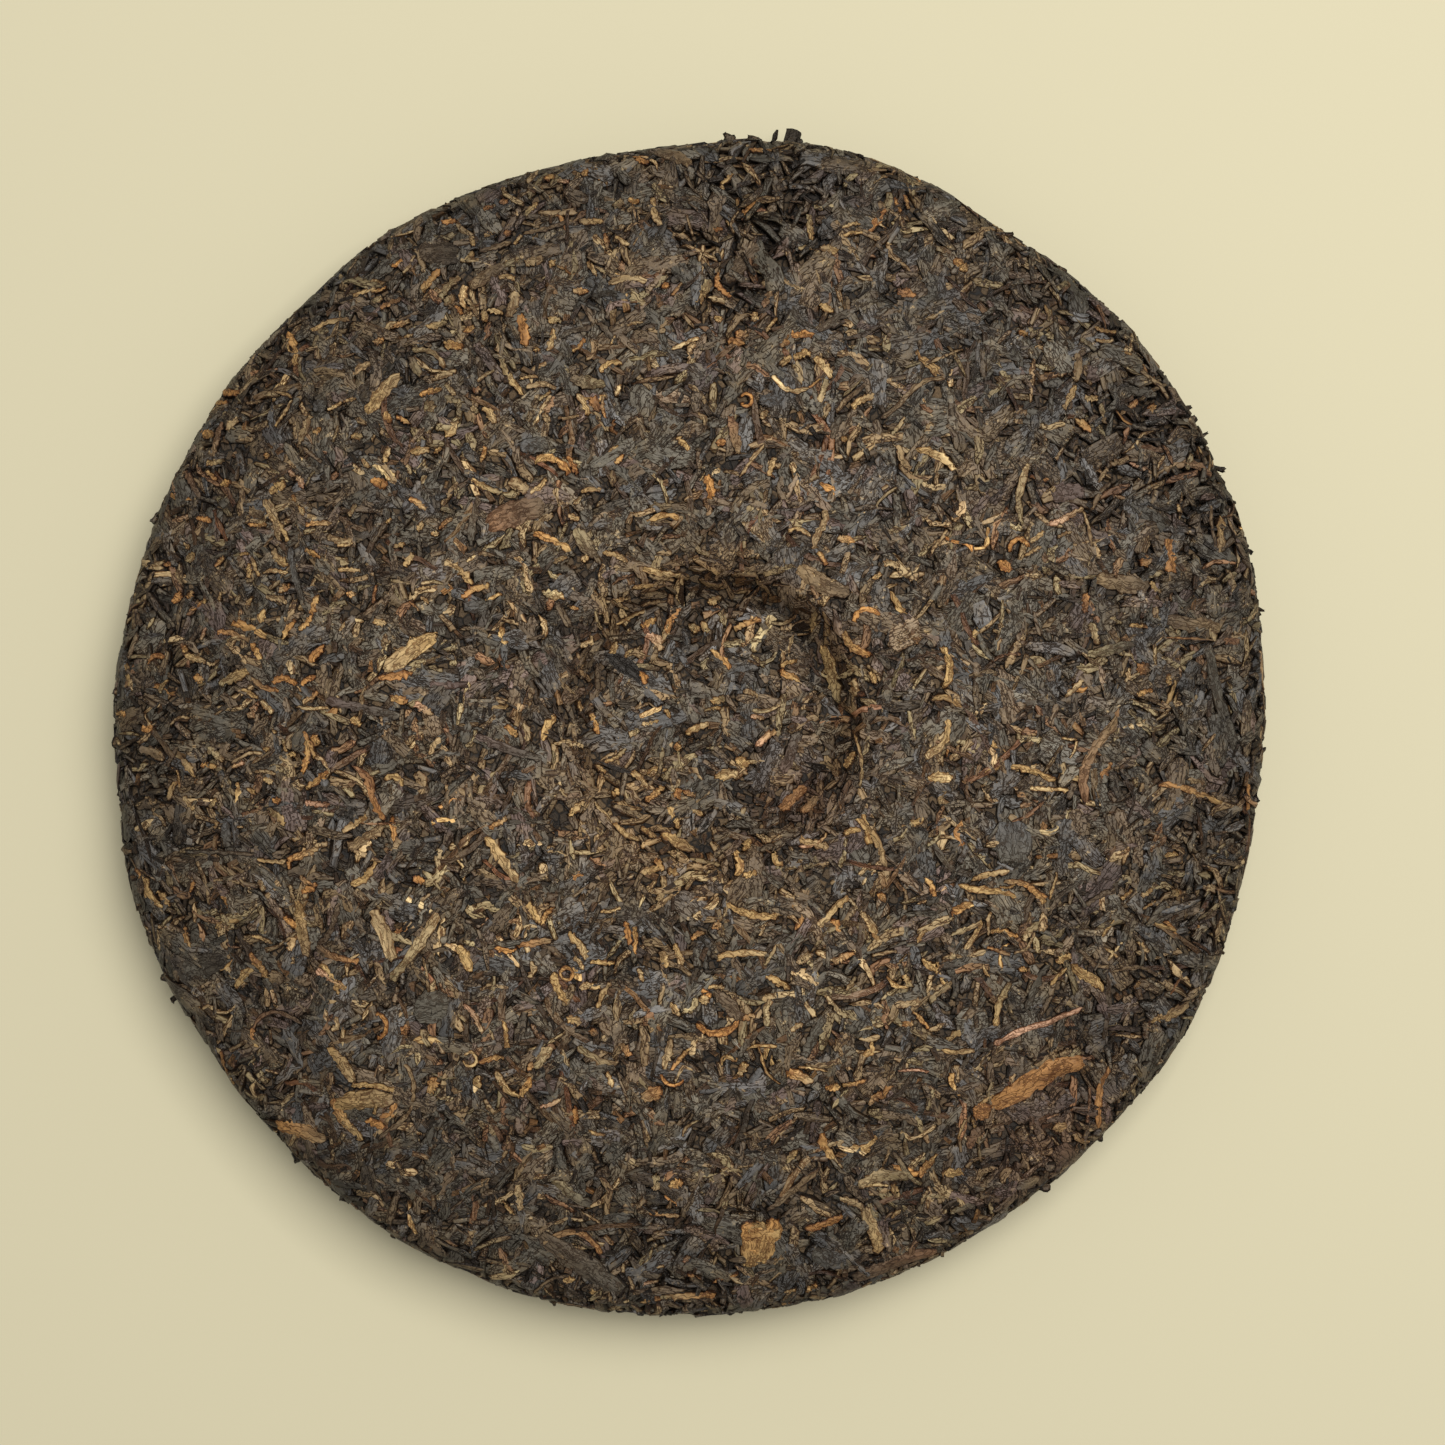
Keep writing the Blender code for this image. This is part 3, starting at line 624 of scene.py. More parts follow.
        (421, 640, 438, 636, 9, 0, 1), (553, 327, 548, 352, 8, 2, 1), (587, 261, 597, 276, 7, 0, 0),
        (530, 190, 536, 192, 8, 0, 3), (514, 246, 522, 234, 5, 0, 0), (403, 337, 414, 335, 5, 0, 1),
        (519, 379, 539, 378, 5, 3, 0), (611, 345, 616, 334, 4, 0, 0),
    ),
    ("olive", "brown"): (
        (578, 1047, 618, 1064, 8, -6, 0), (929, 1004, 953, 981, 7, 2, 0), (1100, 403, 1104, 424, 7, 1, 0),
        (612, 207, 625, 201, 11, 0, 2), (648, 575, 675, 580, 5, -2, 0), (770, 624, 798, 616, 5, -3, 0),
        (819, 764, 839, 777, 8, 5, 0), (236, 605, 240, 594, 6, 0, 0), (424, 403, 436, 409, 13, 0, 2),
    ),
    ("olive", "golden"): (
        (1169, 893, 1182, 892, 10, 0, 1), (709, 279, 697, 304, 11, 1, 2), (723, 201, 730, 226, 9, 0, 0),
        (808, 213, 811, 240, 9, 0, 1), (797, 248, 812, 249, 7, 0, 1), (786, 273, 794, 273, 9, 0, 3),
        (690, 623, 698, 633, 10, 0, 2), (709, 633, 703, 621, 8, 2, 0), (702, 712, 722, 707, 5, 1, 0),
        (219, 686, 250, 669, 12, 1, 2), (282, 738, 288, 752, 5, -1, 0), (268, 806, 286, 827, 9, 1, 1),
        (208, 808, 217, 797, 6, -2, 0), (160, 694, 168, 680, 6, 3, 0), (196, 720, 203, 720, 7, 0, 3),
        (188, 563, 195, 552, 9, 0, 2), (786, 1163, 797, 1150, 8, 0, 2), (538, 402, 552, 391, 5, 1, 0),
        (524, 216, 538, 202, 7, 0, 0), (466, 264, 474, 251, 8, 1, 1), (501, 356, 521, 397, 8, -2, 0),
    ),
    ("olive", "olive"): (
        (304, 487, 316, 470, 4, 0, 0),
    ),
    ("olive", "pale"): (
        (542, 594, 565, 596, 12, 1, 1),
    ),
    ("olive", "slate"): (
        (551, 1180, 593, 1206, 12, -1, 0), (1086, 654, 1136, 644, 12, -1, 2),
        (1080, 338, 1097, 352, 7, 0, 0), (949, 1212, 976, 1206, 9, 3, 0), (458, 500, 466, 486, 6, 1, 0),
        (440, 508, 456, 513, 7, 0, 2),
    ),
    ("olive", "tan"): (
        (535, 1069, 551, 1046, 12, 1, 2), (763, 967, 777, 944, 5, -1, 0), (765, 1028, 770, 998, 8, 1, 0),
        (891, 436, 906, 416, 6, 0, 0), (390, 982, 440, 911, 12, -3, 0), (656, 1173, 657, 1190, 11, 0, 2),
        (949, 936, 982, 921, 7, -2, 0), (1088, 622, 1100, 645, 8, 1, 0), (751, 711, 781, 705, 6, -4, 0),
        (208, 748, 224, 761, 9, 0, 2), (331, 443, 339, 425, 5, -2, 0), (920, 1205, 928, 1190, 6, 0, 1),
        (553, 563, 567, 556, 7, 0, 2), (438, 299, 460, 276, 9, 1, 0), (443, 304, 456, 297, 10, 0, 2),
        (372, 302, 383, 298, 8, 0, 2), (411, 348, 446, 367, 7, 8, 0), (445, 382, 455, 397, 7, 1, 0),
    ),
    ("olive", "umber"): (
        (635, 665, 661, 670, 7, 1, 0), (663, 746, 659, 775, 6, 1, 0), (217, 802, 223, 817, 5, 0, 0),
        (575, 527, 595, 558, 15, -2, 2),
    ),
    ("orange", "brown"): (
        (274, 1123, 326, 1139, 18, 2, 2), (877, 893, 887, 902, 8, 0, 1),
    ),
    ("orange", "golden"): (
        (825, 1087, 841, 1087, 9, 0, 1), (742, 1237, 781, 1231, 27, 0, 1), (747, 1221, 752, 1269, 25, 2, 1),
        (775, 1217, 759, 1264, 24, 3, 1), (750, 1252, 768, 1246, 10, -4, 1),
        (1024, 883, 1046, 904, 7, 1, 0), (949, 914, 974, 903, 9, 1, 1), (1017, 970, 1028, 970, 6, 1, 1),
        (1196, 928, 1207, 925, 6, 0, 1), (954, 258, 968, 272, 11, 0, 1), (904, 194, 909, 210, 5, 0, 0),
        (1017, 331, 1029, 336, 8, 0, 1), (1152, 403, 1153, 415, 9, 0, 2), (1066, 417, 1074, 416, 8, 0, 3),
        (533, 531, 571, 552, 9, 2, 0), (290, 330, 298, 367, 9, -2, 0), (504, 725, 518, 737, 8, 1, 1),
        (779, 668, 799, 684, 9, 1, 1), (655, 857, 664, 872, 8, 0, 1), (640, 628, 657, 619, 9, 1, 1),
        (1012, 540, 1028, 545, 7, 4, 0), (184, 645, 187, 654, 8, 0, 1), (195, 675, 203, 684, 9, 0, 2),
        (200, 764, 218, 768, 8, 1, 1), (302, 774, 309, 738, 8, -2, 0), (311, 735, 320, 746, 9, 0, 2),
        (251, 643, 261, 660, 8, 1, 0), (203, 432, 214, 436, 12, 0, 2), (263, 455, 271, 456, 7, 0, 1),
        (247, 524, 268, 526, 6, 0, 0), (311, 616, 319, 594, 8, 1, 1), (230, 623, 269, 637, 9, 3, 0),
        (819, 1132, 833, 1160, 11, 0, 0), (419, 395, 443, 388, 8, 0, 0), (395, 416, 411, 424, 6, 0, 1),
        (545, 178, 555, 177, 10, 0, 2), (463, 332, 476, 327, 7, 0, 1),
    ),
    ("orange", "orange"): (
        (493, 948, 518, 950, 7, -2, 1), (708, 472, 711, 502, 10, 0, 0), (378, 1010, 380, 1042, 6, 9, 0),
        (1008, 550, 1029, 545, 6, 10, 0), (895, 196, 900, 214, 5, 0, 0), (743, 393, 743, 407, 5, 10, 0),
        (852, 620, 881, 612, 7, 9, 0),
    ),
    ("orange", "rust"): (
        (626, 920, 630, 946, 8, 0, 1), (695, 1027, 741, 1023, 9, -10, 0), (988, 1104, 1086, 1060, 25, 3, 2),
        (366, 1120, 386, 1128, 10, 1, 1), (998, 560, 1012, 572, 11, 0, 1), (633, 157, 649, 163, 9, 0, 1),
        (739, 219, 761, 198, 9, 1, 0), (661, 286, 671, 285, 8, 0, 1), (788, 335, 815, 335, 9, 1, 0),
        (640, 671, 647, 685, 8, 1, 1), (858, 694, 866, 694, 8, 0, 3), (301, 685, 317, 676, 7, 2, 0),
        (141, 726, 154, 730, 13, 0, 2), (273, 799, 281, 802, 8, 0, 2), (288, 860, 290, 870, 5, 0, 0),
        (190, 893, 196, 879, 6, 0, 1), (301, 890, 317, 890, 8, 0, 1), (309, 664, 324, 645, 9, 1, 0),
        (225, 394, 240, 395, 10, 1, 2), (173, 603, 182, 592, 10, 0, 2), (196, 517, 213, 522, 7, 0, 2),
        (163, 565, 172, 563, 6, 0, 1), (371, 478, 387, 487, 11, 0, 2), (522, 313, 525, 347, 11, 0, 0),
    ),
    ("orange", "tan"): (
        (527, 1071, 537, 1062, 7, 1, 1), (690, 939, 706, 933, 7, 2, 1), (784, 1073, 814, 1081, 12, 1, 1),
        (901, 1025, 915, 1024, 8, 1, 1), (489, 830, 508, 817, 7, 1, 0), (407, 498, 428, 510, 7, 1, 0),
        (647, 1213, 680, 1216, 7, 1, 0), (286, 861, 320, 848, 9, 1, 1), (304, 525, 333, 524, 7, 2, 0),
        (346, 594, 357, 594, 7, 0, 1),
    ),
    ("pale", "golden"): (
        (797, 1067, 829, 1071, 4, 1, 0), (466, 1051, 466, 1067, 5, 12, 0), (1028, 788, 1070, 790, 6, 0, 0),
        (840, 227, 862, 224, 5, 1, 0), (290, 779, 296, 778, 6, 0, 3), (326, 410, 343, 402, 5, -1, 0),
        (487, 309, 504, 314, 7, 0, 1),
    ),
    ("pale", "pale"): (
        (607, 1071, 613, 1088, 6, 0, 1), (1103, 946, 1119, 958, 5, 0, 1), (1060, 738, 1078, 740, 4, 0, 0),
    ),
    ("pale", "tan"): (
        (1078, 740, 1070, 760, 4, 0, 0), (771, 375, 809, 390, 6, -9, 0), (431, 534, 440, 534, 7, 0, 1),
    ),
    ("pink", "brown"): (
        (682, 1261, 691, 1256, 7, 0, 1), (1129, 462, 1153, 475, 6, 1, 0),
    ),
    ("pink", "golden"): (
        (316, 968, 349, 990, 9, -2, 0), (755, 747, 777, 729, 8, 1, 0), (798, 848, 829, 834, 5, -4, 0),
    ),
    ("pink", "pink"): (
        (990, 1046, 1084, 1007, 8, 1, 0), (896, 1070, 931, 1071, 4, 0, 0), (755, 211, 768, 211, 4, 1, 0),
    ),
    ("pink", "red_brown"): (
        (303, 804, 330, 804, 7, 0, 0),
    ),
    ("pink", "tan"): (
        (642, 1287, 658, 1280, 5, 3, 0), (462, 1003, 484, 1033, 7, 3, 0), (539, 1109, 562, 1099, 6, 1, 0),
        (1045, 1119, 1060, 1114, 4, 1, 0), (1047, 525, 1085, 510, 7, 1, 0), (1047, 376, 1053, 377, 7, 0, 3),
        (414, 703, 434, 715, 10, 1, 1), (749, 716, 765, 719, 6, 1, 0), (645, 633, 664, 650, 10, 2, 1),
        (288, 470, 296, 478, 6, 0, 0), (505, 289, 511, 290, 8, 0, 3), (473, 391, 481, 388, 9, 0, 2),
    ),
    ("plum", "black"): (
        (1108, 1028, 1142, 1029, 6, 0, 0),
    ),
    ("plum", "plum"): (
        (1050, 497, 1085, 490, 20, 2, 2), (1085, 374, 1103, 373, 19, 0, 2), (427, 686, 470, 684, 8, 1, 0),
    ),
    ("plum", "slate"): (
        (322, 700, 401, 717, 11, 2, 0), (473, 733, 544, 760, 10, -4, 0),
    ),
    ("red_brown", "brown"): (
        (729, 416, 740, 455, 11, 1, 2), (762, 307, 772, 291, 8, 0, 2),
    ),
    ("red_brown", "red_brown"): (
        (920, 404, 933, 413, 7, 0, 1), (1222, 640, 1240, 641, 10, 0, 2),
    ),
    ("red_brown", "rust"): (
        (896, 290, 916, 296, 10, 0, 1), (353, 763, 386, 821, 9, 2, 0), (373, 605, 377, 584, 5, 1, 0),
        (499, 203, 509, 201, 7, 0, 2),
    ),
    ("red_brown", "umber"): (
        (249, 1027, 303, 1019, 6, 14, 0), (1138, 446, 1176, 448, 7, -3, 0), (486, 527, 545, 503, 27, 2, 2),
        (185, 470, 201, 499, 8, 1, 0), (967, 1148, 983, 1125, 12, 1, 2),
    ),
    ("rust", "brown"): (
        (517, 948, 552, 941, 9, 4, 1), (985, 946, 1012, 955, 5, -1, 0), (1139, 561, 1153, 560, 13, 0, 1),
        (1163, 637, 1216, 641, 4, 1, 0), (1143, 378, 1159, 381, 5, 0, 0), (735, 334, 748, 334, 10, 0, 2),
        (671, 297, 683, 282, 5, 0, 0), (605, 233, 608, 251, 7, 0, 1), (682, 791, 697, 796, 7, 0, 2),
        (215, 632, 252, 640, 7, 3, 0), (438, 529, 453, 518, 6, 1, 0), (409, 600, 420, 612, 4, 0, 0),
        (380, 309, 402, 299, 7, 2, 0),
    ),
    ("rust", "golden"): (
        (670, 1071, 690, 1048, 6, 1, 0), (808, 389, 821, 378, 4, 0, 0), (249, 952, 268, 979, 9, 1, 0),
        (334, 1098, 352, 1128, 12, -6, 0), (184, 925, 190, 949, 7, 1, 1), (478, 1062, 505, 1057, 7, 1, 0),
        (432, 1076, 432, 1094, 12, 0, 2), (1159, 783, 1226, 804, 9, 3, 0), (748, 151, 774, 152, 7, 0, 1),
        (461, 598, 490, 584, 8, 3, 0), (645, 801, 664, 787, 8, 0, 0), (674, 744, 682, 750, 8, 0, 1),
        (302, 728, 316, 759, 6, 1, 0), (136, 866, 153, 898, 7, -2, 0), (292, 494, 297, 503, 6, 0, 0),
        (186, 598, 194, 591, 8, 0, 1), (215, 567, 225, 556, 6, 0, 0), (918, 1177, 938, 1154, 9, 1, 1),
        (904, 1280, 921, 1272, 6, 0, 0),
    ),
    ("rust", "orange"): (
        (412, 879, 426, 881, 9, 0, 1), (575, 1105, 576, 1125, 7, 0, 1), (1110, 1064, 1093, 1131, 9, -3, 0),
        (712, 1283, 739, 1273, 5, 1, 0), (1248, 783, 1248, 813, 7, 0, 0), (779, 811, 807, 786, 13, 1, 2),
        (271, 682, 297, 684, 8, 6, 0), (804, 1228, 844, 1216, 9, -3, 2), (441, 223, 457, 222, 7, 0, 2),
        (455, 304, 463, 316, 6, 0, 1),
    ),
    ("rust", "red_brown"): (
        (400, 1030, 411, 1031, 12, 0, 1), (1085, 592, 1086, 614, 9, 0, 2), (1169, 996, 1184, 974, 4, 1, 0),
        (590, 397, 600, 411, 12, 0, 2), (483, 211, 494, 207, 7, 2, 0), (504, 233, 512, 234, 9, 0, 2),
    ),
    ("rust", "rust"): (
        (716, 443, 726, 442, 9, 0, 2), (972, 1112, 991, 1111, 18, 0, 2), (377, 679, 414, 674, 10, 2, 1),
        (1169, 537, 1171, 575, 15, 0, 0), (716, 271, 729, 300, 7, -4, 0), (709, 228, 724, 230, 6, 0, 1),
        (566, 455, 578, 475, 8, 1, 1), (676, 799, 680, 788, 9, 0, 2),
    ),
    ("rust", "tan"): (
        (714, 930, 720, 921, 9, 0, 2), (742, 1020, 757, 1016, 8, 2, 0), (687, 1273, 704, 1283, 6, 0, 0),
        (801, 813, 820, 797, 10, 0, 2), (392, 327, 410, 321, 8, 0, 2),
    ),
    ("rust", "umber"): (
        (590, 1028, 597, 1036, 9, 0, 2), (1136, 668, 1151, 669, 12, 0, 2),
    ),
    ("slate", "black"): (
        (182, 972, 226, 960, 26, 1, 2),
    ),
    ("slate", "blue_black"): (
        (810, 1253, 848, 1262, 22, 0, 2),
    ),
    ("slate", "olive"): (
        (1016, 1189, 1040, 1178, 14, 0, 2),
    ),
    ("slate", "plum"): (
        (799, 731, 782, 773, 13, 1, 0),
    ),
    ("slate", "slate"): (
        (803, 1058, 824, 1016, 12, 0, 0), (1024, 1011, 1049, 962, 9, 1, 0),
        (414, 1008, 449, 1006, 34, 0, 2), (1204, 643, 1237, 758, 14, 3, 0),
        (1116, 386, 1157, 396, 13, 1, 2),
    ),
    ("slate", "umber"): (
        (739, 1058, 758, 1030, 8, 2, 0), (1130, 424, 1160, 430, 5, -3, 0), (181, 851, 257, 854, 5, 0, 0),
        (470, 546, 478, 496, 9, 1, 0), (559, 338, 592, 326, 7, 2, 0),
    ),
    ("tan", "brown"): (
        (664, 1071, 672, 1038, 10, 1, 1), (897, 443, 911, 471, 8, -3, 0), (545, 1287, 555, 1297, 4, 0, 0),
        (594, 1300, 614, 1296, 7, 0, 0), (871, 956, 898, 951, 5, 1, 0), (1098, 484, 1108, 466, 6, 0, 0),
        (1083, 510, 1093, 548, 5, 1, 0), (1205, 888, 1216, 887, 8, 0, 2), (1058, 1055, 1073, 1050, 7, 0, 1),
        (632, 247, 645, 228, 4, 0, 0), (811, 256, 820, 286, 5, 1, 0), (206, 663, 221, 660, 5, -3, 0),
        (213, 881, 224, 880, 4, 1, 0), (289, 884, 294, 900, 6, 1, 0), (245, 403, 263, 401, 5, -1, 0),
        (839, 1197, 866, 1210, 9, 2, 2), (525, 386, 558, 387, 7, 2, 0), (508, 481, 529, 491, 14, 1, 2),
        (544, 413, 549, 423, 8, 0, 2), (403, 274, 416, 254, 6, -1, 0), (525, 266, 544, 257, 10, 1, 0),
        (466, 297, 478, 317, 6, 1, 0),
    ),
    ("tan", "golden"): (
        (579, 987, 603, 987, 8, 1, 0), (661, 949, 667, 969, 10, 0, 1), (740, 1075, 745, 1061, 9, 0, 2),
        (383, 671, 438, 635, 20, 3, 2), (494, 1071, 521, 1098, 8, -4, 0), (818, 928, 850, 899, 9, 7, 0),
        (964, 951, 983, 921, 7, -1, 0), (982, 963, 990, 978, 5, -1, 1), (860, 911, 879, 943, 8, 3, 0),
        (1030, 543, 1045, 531, 7, 0, 0), (1141, 897, 1153, 888, 7, 0, 0), (1133, 989, 1141, 981, 6, 0, 1),
        (1084, 401, 1097, 396, 8, 0, 0), (766, 333, 777, 317, 5, 1, 0), (779, 367, 793, 355, 8, 1, 0),
        (443, 560, 472, 583, 9, 2, 0), (594, 765, 606, 774, 6, 1, 0), (690, 809, 704, 816, 6, 1, 0),
        (640, 873, 660, 867, 10, 0, 2), (640, 725, 660, 720, 6, 0, 0), (183, 796, 195, 811, 7, 0, 0),
        (214, 833, 219, 821, 5, 1, 0), (185, 701, 192, 701, 8, 0, 3), (271, 730, 278, 733, 5, 0, 1),
        (293, 399, 274, 428, 5, 1, 0), (264, 496, 289, 544, 8, -2, 0), (246, 606, 253, 596, 6, 0, 0),
        (183, 543, 191, 549, 6, 0, 0), (343, 402, 357, 399, 5, 1, 0), (361, 458, 370, 468, 6, 0, 0),
        (864, 1206, 878, 1254, 15, 4, 0), (783, 1292, 797, 1289, 6, 0, 0), (978, 1236, 997, 1222, 5, 1, 0),
        (577, 393, 589, 416, 8, 2, 0), (529, 494, 548, 478, 6, -1, 0), (581, 556, 589, 561, 8, 0, 1),
        (567, 514, 580, 521, 7, 0, 1), (609, 453, 619, 446, 5, 2, 0), (420, 597, 430, 604, 5, 1, 0),
        (370, 281, 383, 283, 5, 1, 0), (498, 277, 517, 279, 7, 2, 0), (556, 266, 566, 269, 4, 0, 0),
        (483, 236, 494, 234, 7, 0, 1),
    ),
    ("tan", "olive"): (
        (681, 1138, 699, 1118, 4, 3, 0), (824, 994, 848, 1019, 7, -1, 0), (847, 992, 856, 976, 6, 1, 0),
        (820, 404, 827, 378, 8, 1, 0), (719, 1170, 744, 1171, 6, 1, 0), (948, 955, 957, 957, 9, 0, 1),
        (1021, 941, 1040, 922, 9, 1, 0), (1027, 460, 1020, 528, 9, -5, 0), (628, 736, 640, 729, 7, 0, 0),
        (349, 518, 357, 503, 6, 1, 0), (857, 1184, 910, 1176, 14, 7, 2), (471, 406, 479, 413, 7, 0, 2),
        (406, 463, 412, 475, 6, 0, 0), (573, 505, 582, 496, 6, 0, 0), (420, 583, 445, 584, 5, 2, 0),
        (595, 266, 607, 275, 5, 1, 0), (476, 382, 496, 369, 5, 1, 0),
    ),
    ("tan", "orange"): (
        (836, 538, 855, 542, 9, 1, 1), (681, 256, 688, 259, 8, 0, 3), (662, 1297, 720, 1294, 8, 1, 0),
        (279, 592, 291, 584, 8, 0, 1), (572, 291, 590, 292, 8, 0, 1), (373, 342, 385, 340, 8, 0, 2),
    ),
    ("tan", "pale"): (
        (574, 955, 584, 971, 6, 1, 0), (637, 968, 645, 982, 6, 0, 0), (811, 571, 828, 592, 4, -2, 0),
        (1105, 965, 1123, 940, 5, 0, 0), (670, 350, 700, 338, 6, 1, 0), (261, 699, 273, 714, 8, 0, 2),
        (261, 574, 289, 572, 5, 3, 0), (616, 397, 620, 384, 6, 0, 0), (466, 563, 476, 554, 5, 0, 0),
    ),
    ("tan", "pink"): (
        (249, 720, 259, 701, 9, 1, 1), (176, 476, 179, 496, 7, -3, 0), (297, 475, 304, 488, 8, 0, 1),
        (201, 641, 207, 627, 5, 1, 0), (556, 181, 570, 182, 6, 0, 0),
    ),
    ("tan", "rust"): (
        (832, 963, 855, 952, 9, 1, 1), (303, 704, 319, 692, 7, 2, 0), (602, 395, 605, 420, 5, 0, 0),
    ),
    ("tan", "tan"): (
        (789, 1031, 804, 1024, 7, 1, 1), (761, 420, 768, 409, 8, 0, 1), (883, 564, 899, 568, 8, 4, 0),
        (931, 555, 947, 528, 5, 0, 0), (372, 908, 393, 962, 15, 2, 0), (518, 1183, 521, 1212, 10, -1, 2),
        (581, 1211, 601, 1223, 4, 0, 0), (623, 1273, 625, 1262, 5, 1, 0), (1065, 698, 1083, 680, 7, 0, 0),
        (1056, 538, 1073, 531, 5, 1, 0), (1125, 515, 1131, 516, 6, 0, 3), (607, 281, 649, 279, 8, 1, 0),
        (737, 478, 765, 441, 5, -3, 0),
    ),
    ("umber", "black"): (
        (417, 250, 460, 256, 28, 0, 2),
    ),
    ("umber", "brown"): (
        (878, 416, 949, 375, 7, 5, 0), (1163, 619, 1222, 629, 17, 1, 2), (1075, 950, 1111, 968, 6, -3, 0),
        (655, 150, 691, 165, 17, 1, 2), (138, 748, 165, 758, 12, 2, 2), (765, 1213, 820, 1168, 8, 0, 2),
        (478, 252, 512, 243, 7, 1, 0),
    ),
    ("umber", "olive"): (
        (893, 1151, 921, 1186, 7, -3, 0), (410, 356, 420, 377, 11, 0, 2), (569, 378, 606, 385, 13, -2, 2),
    ),
    ("umber", "red_brown"): (
        (850, 1276, 940, 1250, 18, 1, 2),
    ),
    ("umber", "rust"): (
        (316, 945, 360, 963, 8, -5, 0),
    ),
    ("umber", "slate"): (
        (832, 439, 840, 415, 9, 1, 0), (540, 1234, 628, 1293, 24, -4, 2), (1046, 915, 1077, 880, 7, 1, 0),
        (1132, 433, 1169, 439, 6, -6, 0), (815, 331, 850, 311, 9, 0, 0), (597, 324, 615, 346, 8, 6, 0),
    ),
    ("umber", "umber"): (
        (713, 991, 741, 1020, 15, 3, 2), (341, 901, 316, 945, 8, 8, 0), (1084, 905, 1117, 888, 7, 1, 0),
        (1143, 1021, 1147, 1040, 7, 1, 0), (726, 283, 761, 245, 16, 2, 0),
    ),
}

# Flakes that stand out from the rim: root, tip and width as points of the picture, and tone
SHOWN_RIM_FLAKES = (
    (726, 152, 731, 134, 15, "black"), (733, 148, 719, 141, 7, "black"), (752, 154, 756, 136, 18, "umber"),
    (775, 154, 773, 140, 4, "black"), (774, 142, 778, 130, 5, "black"), (787, 158, 795, 128, 18, "black"),
    (797, 156, 801, 138, 8, "black"), (1136, 353, 1142, 344, 6, "black"),
    (1150, 386, 1163, 371, 7, "black"), (1162, 392, 1164, 376, 6, "black"),
    (1160, 415, 1192, 407, 7, "slate"), (1166, 428, 1197, 417, 9, "umber"),
    (1178, 434, 1193, 426, 7, "black"), (1188, 444, 1209, 434, 4, "umber"),
    (1196, 458, 1208, 448, 8, "brown"), (1206, 464, 1226, 470, 6, "black"),
    (1208, 476, 1221, 478, 8, "umber"), (1228, 531, 1247, 542, 4, "black"),
    (1230, 539, 1252, 553, 5, "black"), (1250, 606, 1264, 611, 5, "black"),
    (1225, 500, 1235, 505, 6, "black"), (1242, 566, 1251, 569, 7, "slate"),
    (652, 1306, 667, 1311, 8, "umber"), (628, 1304, 637, 1312, 8, "black"),
    (697, 1306, 700, 1316, 12, "black"), (726, 1304, 733, 1315, 12, "black"),
    (184, 984, 160, 977, 8, "umber"), (436, 220, 428, 211, 8, "umber"), (446, 216, 450, 202, 13, "brown"),
    (184, 990, 170, 1003, 7, "black"),
)
RIM_FLAKE_TEMPLATES = ("torn_leaf", "pointed_strip", "short_strip")
RIM_FLAKE_HEIGHT = (9.0, 14.0)
RIM_FLAKE_THICKNESS = 0.45
RIM_FLAKE_SLOPE = 0.5
RIM_FLAKE_TURN = 0.5
RIM_FLAKE_CURL = 0.4
RIM_FLAKE_CRUMPLE = 0.06
SMALL_RIM_FLAKES = 110
SMALL_RIM_FLAKE_LENGTH = (2.0, 4.0)
SMALL_RIM_FLAKE_WIDTH = (0.8, 2.2)
SMALL_RIM_FLAKE_REACH = (0.1, 0.75)
SMALL_RIM_FLAKE_MARGIN = 3
SMALL_RIM_FLAKE_SLOPE = 0.3
SMALL_RIM_FLAKE_LEAN = 1.2
SMALL_RIM_FLAKE_TONES = ("black", "slate", "umber", "brown")

# How wide a leaf is along its length: least share, where it starts and how much it spans of the rise and
# fall of a half wave, and how sharp that is
BLUNT = (0.72, 0.0, 1.0, 0.5)
POINTED = (0.22, 0.06, 0.88, 0.8)
CLUB = (0.30, 0.10, 0.72, 1.4)
OVAL = (0.30, 0.04, 0.92, 0.6)
SLIM = (0.75, 0.0, 1.0, 1.0)
ROUND_ENDS = (0.45, 0.12, 0.76, 0.7)

# Pulls on a leaf one by one in size: the points that move, and how far
TIP = (lambda point: point.x > 0.45, (0, 0.12, 0))
NOTCH = (lambda point: abs(point.x) < 0.2 and point.y > 0.4, (0, -0.16, 0))
BULGE = (lambda point: point.x < -0.1 and point.y < -0.4, (0, -0.14, 0))

# Leaf shapes: faces along and across, profile, half width of the flat top, roughness, seed and pulls
LEAF_SHAPES = {
    "cut_strip": (5, 4, BLUNT, 0.41, 0.02, 1),
    "pointed_strip": (5, 4, POINTED, 0.41, 0.02, 2, TIP),
    "club_strip": (5, 4, CLUB, 0.41, 0.03, 3, BULGE),
    "broad_leaf": (6, 5, OVAL, 0.45, 0.03, 4, TIP),
    "torn_leaf": (6, 5, BLUNT, 0.45, 0.05, 5, NOTCH, BULGE),
    "short_strip": (3, 4, BLUNT, 0.40, 0.03, 14, TIP),
    "crumb": (3, 3, OVAL, 0.38, 0.06, 6),
    "long_crumb": (3, 3, CLUB, 0.38, 0.05, 7),
    "bud": (8, 4, POINTED, 0.40, 0.02, 8),
    "bud_curl": (8, 4, CLUB, 0.40, 0.02, 9, BULGE),
    "stem": (8, 3, SLIM, 0.34, 0.01, 10),
    "shown_strip": (14, 4, ROUND_ENDS, 0.42, 0.012, 11),
    "shown_bud": (14, 4, POINTED, 0.41, 0.015, 12, TIP),
    "shown_leaf": (14, 6, OVAL, 0.45, 0.012, 13),
}
# How much of a leaf's half length lies flat before its end turns down
TOP_LENGTH = 0.39
CENTRE_LINE_STEPS = 24
SHARP_ANGLE = math.radians(40)

